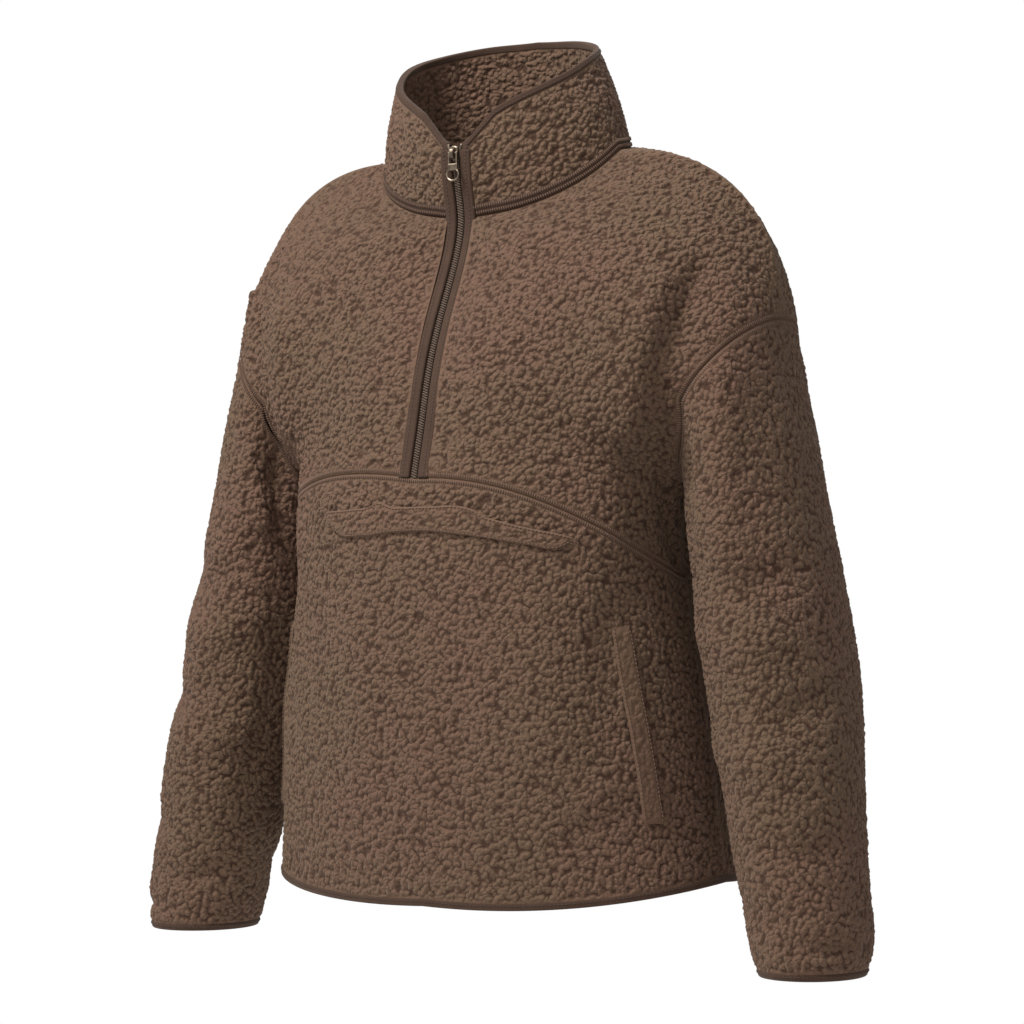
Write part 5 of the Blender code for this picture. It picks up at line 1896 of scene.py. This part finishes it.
@dataclass
class Welts:
    """The stitched welt across the front and the two hand pockets' welts."""

    proud: float = 0.0022
    steps: int = 230
    across: int = 22
    pocket_top: tuple[float, float] = (63.5, -0.383)
    pocket_bottom: tuple[float, float] = (70.0, -0.538)
    pocket_half: float = 2.6
    pocket_across: int = 12
    sewn_steps: int = 24
    sewn_rise: float = 0.0013
    least: float = 0.011

    def build(self, front: Panel, shaper: bpy.types.NodeTree) -> list[Any]:
        """Adds the welts and returns the lines of their stitch rows."""
        rows, columns = front.grid.shape[:2]
        points = [Vector(p) for p in front.grid.reshape(-1, 3).tolist()]
        tree = BVHTree.FromPolygons(points, grid_faces(rows, columns).tolist())
        lines = self.pouch(front, tree, shaper)
        for corners in SEWN_LINES:
            lines.append(self.sewn(front, tree, corners))
        for left in (True, False):
            lines += self.pocket(front, tree, shaper, left)
        return lines

    def on_front(self, front: Panel, tree: BVHTree, start: Any, way: Any) -> tuple[Array, Array]:
        """Where a ray meets the front, and the outward direction there."""
        hit, _, number, _ = tree.ray_cast(Vector(start), Vector(way))
        row, column = divmod(number, front.grid.shape[1] - 1)
        normal = front.normals[row, column] + front.normals[row + 1, column + 1]
        return np.array(hit), unit(normal)

    def patch(
        self, name: str, hits: list[list[tuple[Array, Array]]], node: str, shaper: Any, pile: float
    ) -> Panel:
        """Adds a raised patch of fleece through points on the front.

        Args:
            name: the piece's name.
            hits: rows of places on the front with their outward directions.
            node: the solid that the patch stands for.
            shaper: the node group that raises the curls.
            pile: how high the curls stand, as a share of the body's.

        Returns:
            The patch.
        """
        grid = np.array([[hit for hit, _ in row] for row in hits])
        normals = np.array([[facing for _, facing in row] for row in hits])
        flat, area = sheet_sizes(grid)
        away = np.minimum(lengths_from(grid, 1, False), lengths_from(grid, 1, True))
        ends = np.minimum(lengths_from(grid, 0, False), lengths_from(grid, 0, True))
        rise = self.proud * ease(away, -0.0006, 0.0020) * ease(ends, -0.0004, 0.0060)
        facing = np.cross(grid[0, 1] - grid[0, 0], grid[1, 0] - grid[0, 0]) @ normals[0, 0]
        made = Panel(name, grid, grid[..., (0, 2)], (), [], node, flat, area)
        made.facing = 1.0 if facing > 0 else -1.0
        made.grid = grid + normals * (rise + 0.0004)[..., None]
        made.normals = normals
        made.nap = pile * ease(np.minimum(away, ends), 0.0024, 0.0046)
        made.flat = (max(flat[0], self.least), max(flat[1], self.least))
        made.build(shaper)
        return made

    def pouch(self, front: Panel, tree: BVHTree, shaper: Any) -> list[Any]:
        """The welt across the front."""
        hits = []
        for x in np.linspace(WELT[0].x, WELT[-1].x, self.steps):
            top, bottom = (float(read(WELT, "x", c, x)) for c in ("top", "bottom"))
            heights = np.linspace(bottom, top, self.across)
            starts = [(x, -1.0, z) for z in heights]
            hits.append([self.on_front(front, tree, start, (0.0, 1.0, 0.0)) for start in starts])
        made = self.patch("pouch_welt_fleece", hits, "pouch_welt", shaper, 0.8)
        return self.rows_of(made, 0.0020)

    def pocket(self, front: Panel, tree: BVHTree, shaper: Any, left: bool) -> list[Any]:
        """A hand pocket's welt, down one side.

        Args:
            front: the lower front.
            tree: the same panel, to cast rays at.
            shaper: the node group that raises the curls.
            left: the wearer's left side.

        Returns:
            The lines of its rows of stitches.
        """
        sign = 1.0 if left else -1.0
        hits = []
        for share in np.linspace(0.0, 1.0, self.steps // 2):
            angle = self.pocket_top[0] + (self.pocket_bottom[0] - self.pocket_top[0]) * share
            z = self.pocket_top[1] + (self.pocket_bottom[1] - self.pocket_top[1]) * share
            row = []
            for width in np.linspace(-1.0, 1.0, self.pocket_across):
                a = math.radians(angle + self.pocket_half * width)
                way = np.array([-sign * math.sin(a), math.cos(a), 0.0])
                row.append(self.on_front(front, tree, np.array([0.0, 0.0, z]) - way, way))
            hits.append(row)
        name = "left" if left else "right"
        made = self.patch(f"pocket_welt_fleece_{name}", hits, f"pocket_welt_{name}", shaper, 0.35)
        return self.rows_of(made, 0.0019)

    def sewn(self, front: Panel, tree: BVHTree, corners: Any) -> tuple[Array, Array, bool]:
        """A stitch row across the front through corners given across and up."""
        places = np.array(corners)
        share = np.linspace(0.0, len(places) - 1.0, self.sewn_steps)
        xs, zs = (np.interp(share, np.arange(len(places)), places[:, k]) for k in (0, 1))
        hits = [self.on_front(front, tree, (x, -1.0, z), (0.0, 1.0, 0.0)) for x, z in zip(xs, zs)]
        line, normals = np.array([h for h, _ in hits]), np.array([n for _, n in hits])
        return line + normals * self.sewn_rise, normals, False

    def rows_of(self, made: Panel, away: float) -> list[Any]:
        """Stitch rows down both long sides of a patch."""
        return [raised(*made.beside(edge, away)) for edge in (Edge.START, Edge.END)]


@dataclass
class Studio:
    """A pale floor, soft lights and the camera at the photographed angle."""

    azimuth: float = 32.0
    distance: float = 3.1
    height: float = -0.293
    pixels: float = 3760.0
    frame: float = 1024.0
    axis_at: float = 506.0
    floor: float = -1.20
    reach: float = 2.4
    ambient: float = 0.35

    def build(self) -> None:
        """Adds all of it."""
        self.camera()
        self.ground()
        self.light("key", (-0.62, -1.80, 2.0), 0.9, 100.0)
        self.light("fill", (1.5, -2.4, 0.4), 1.5, 10.0)
        self.light("back", (-0.6, 2.4, 1.6), 1.6, 34.0)
        world = bpy.data.worlds.new("studio")
        world.use_nodes = True
        wire = Wire(world.node_tree)
        seen = wire.make("ShaderNodeLightPath", None, None, "Is Camera Ray")
        background = world.node_tree.nodes["Background"]
        background.inputs["Color"].default_value = (1.0, 1.0, 1.0, 1.0)
        strength = seen * (1.0 - self.ambient) + self.ambient
        world.node_tree.links.new(strength.socket, background.inputs["Strength"])
        bpy.context.scene.world = world
        bpy.context.scene.view_settings.view_transform = "Standard"

    def ground(self) -> None:
        """A pale round floor that fades out at its edge."""
        sides = 96
        turns = 2 * np.pi * np.arange(sides) / sides
        rim = np.stack([np.cos(turns), np.sin(turns), np.zeros(sides)], axis=-1) * self.reach
        mesh = bpy.data.meshes.new("floor")
        mesh.from_pydata((rim + np.array([0, 0, self.floor])).tolist(), [], [tuple(range(sides))])
        mesh.materials.append(PAPER.material())
        made = bpy.data.objects.new("floor", mesh)
        bpy.context.scene.collection.objects.link(made)

    def camera(self) -> None:
        """The camera, level, with the body's axis a little left of the middle."""
        data = bpy.data.cameras.new("camera")
        data.sensor_width = 36.0
        data.lens = self.pixels / self.frame * data.sensor_width
        data.shift_x = (self.frame / 2 - self.axis_at) / self.frame
        data.clip_end = 60.0
        made = bpy.data.objects.new("camera", data)
        a = math.radians(self.azimuth)
        made.location = (self.distance * math.sin(a), -self.distance * math.cos(a), self.height)
        made.rotation_euler = (math.pi / 2, 0.0, a)
        bpy.context.scene.collection.objects.link(made)
        bpy.context.scene.camera = made

    def light(self, name: str, place: tuple[float, ...], size: float, power: float) -> None:
        """Adds a square soft light that looks at the garment."""
        data = bpy.data.lights.new(name, "AREA")
        data.size = size
        data.energy = power
        made = bpy.data.objects.new(name, data)
        made.location = place
        way = Vector((0.0, 0.0, -0.28)) - made.location
        made.rotation_euler = way.to_track_quat("-Z", "Y").to_euler()
        bpy.context.scene.collection.objects.link(made)


def metal_parts(frame: dict[str, Any]) -> None:
    """Gives the slider and the pull, whose solids have the right shape, their plating."""
    for name in ("zip_slider", "zip_pull"):
        mesh = frame["nodes"][name].data
        for i in range(len(mesh.materials)):
            mesh.materials[i] = BRONZE.material()
        mesh.shade_smooth()
        mesh.set_sharp_from_angle(angle=math.radians(35))
        log.info("%s: plated", name)


def main() -> None:
    """Builds the pieces in order."""
    logging.basicConfig(level=logging.INFO, format="%(message)s")
    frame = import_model()
    Studio().build()
    shaper = CURLS.shaper()
    panels = Body().panels()
    sleeves = {side: Sleeve(side).panel() for side in (True, False)}
    armholes = armholes_of(panels, sleeves)
    for panel in (*panels.values(), *sleeves.values()):
        panel.shape(armholes)
    outer, inner = Collar().panels()
    for panel in list(panels.values()) + list(sleeves.values()) + [outer, inner]:
        panel.build(shaper)
    Linings().build([*panels.values(), *sleeves.values()])
    bindings = Bindings()
    front = panels["fleece_lower_front"]
    backs = [panels["fleece_back_left"], panels["fleece_back_right"]]
    rows = bindings.add(
        "hem_jersey", bindings.ring_line([front] + backs, Edge.LOW), CUT.cloth, True, "hem_binding"
    )
    for side, name in ((True, "left"), (False, "right")):
        line = bindings.ring_line([sleeves[side]], Edge.HIGH)
        rows += bindings.add(f"cuff_jersey_{name}", line, CUT.cloth, True, f"cuff_binding_{name}")
    line = bindings.turned_down(bindings.ring_line([outer], Edge.HIGH))
    rows += bindings.add("collar_jersey", line, CUT.collar_cloth, False, "collar_binding")
    rows += Zip().build()
    STITCHING.sew("binding_stitches", rows, DARK_THREAD)
    rows = NeckBand().build(outer)
    for panel in (front, panels["fleece_upper_front_left"], panels["fleece_upper_front_right"]):
        edge = Edge.HIGH if panel is front else Edge.LOW
        rows.append(raised(*panel.beside(edge, 0.0034)))
    for side in (True, False):
        rows.append(raised(*sleeves[side].beside(Edge.LOW, 0.0034)))
    for name, edge in ARM_EDGES:
        line, normals = panels[name].beside(edge, 0.0034)
        top = line[:, 2] > CUT.armpit + 0.004
        rows.append(raised(line[top], normals[top]))
    LADDER.sew("cover_stitches", rows, THREAD)
    STITCHING.sew("welt_stitches", Welts().build(front, shaper), THREAD)
    metal_parts(frame)
    shown = [o.data for o in bpy.context.scene.objects if o.type == "MESH" and not o.hide_render]
    log.info("%d triangles", sum(len(p.vertices) - 2 for m in shown for p in m.polygons))


if __name__ == "__main__":
    main()
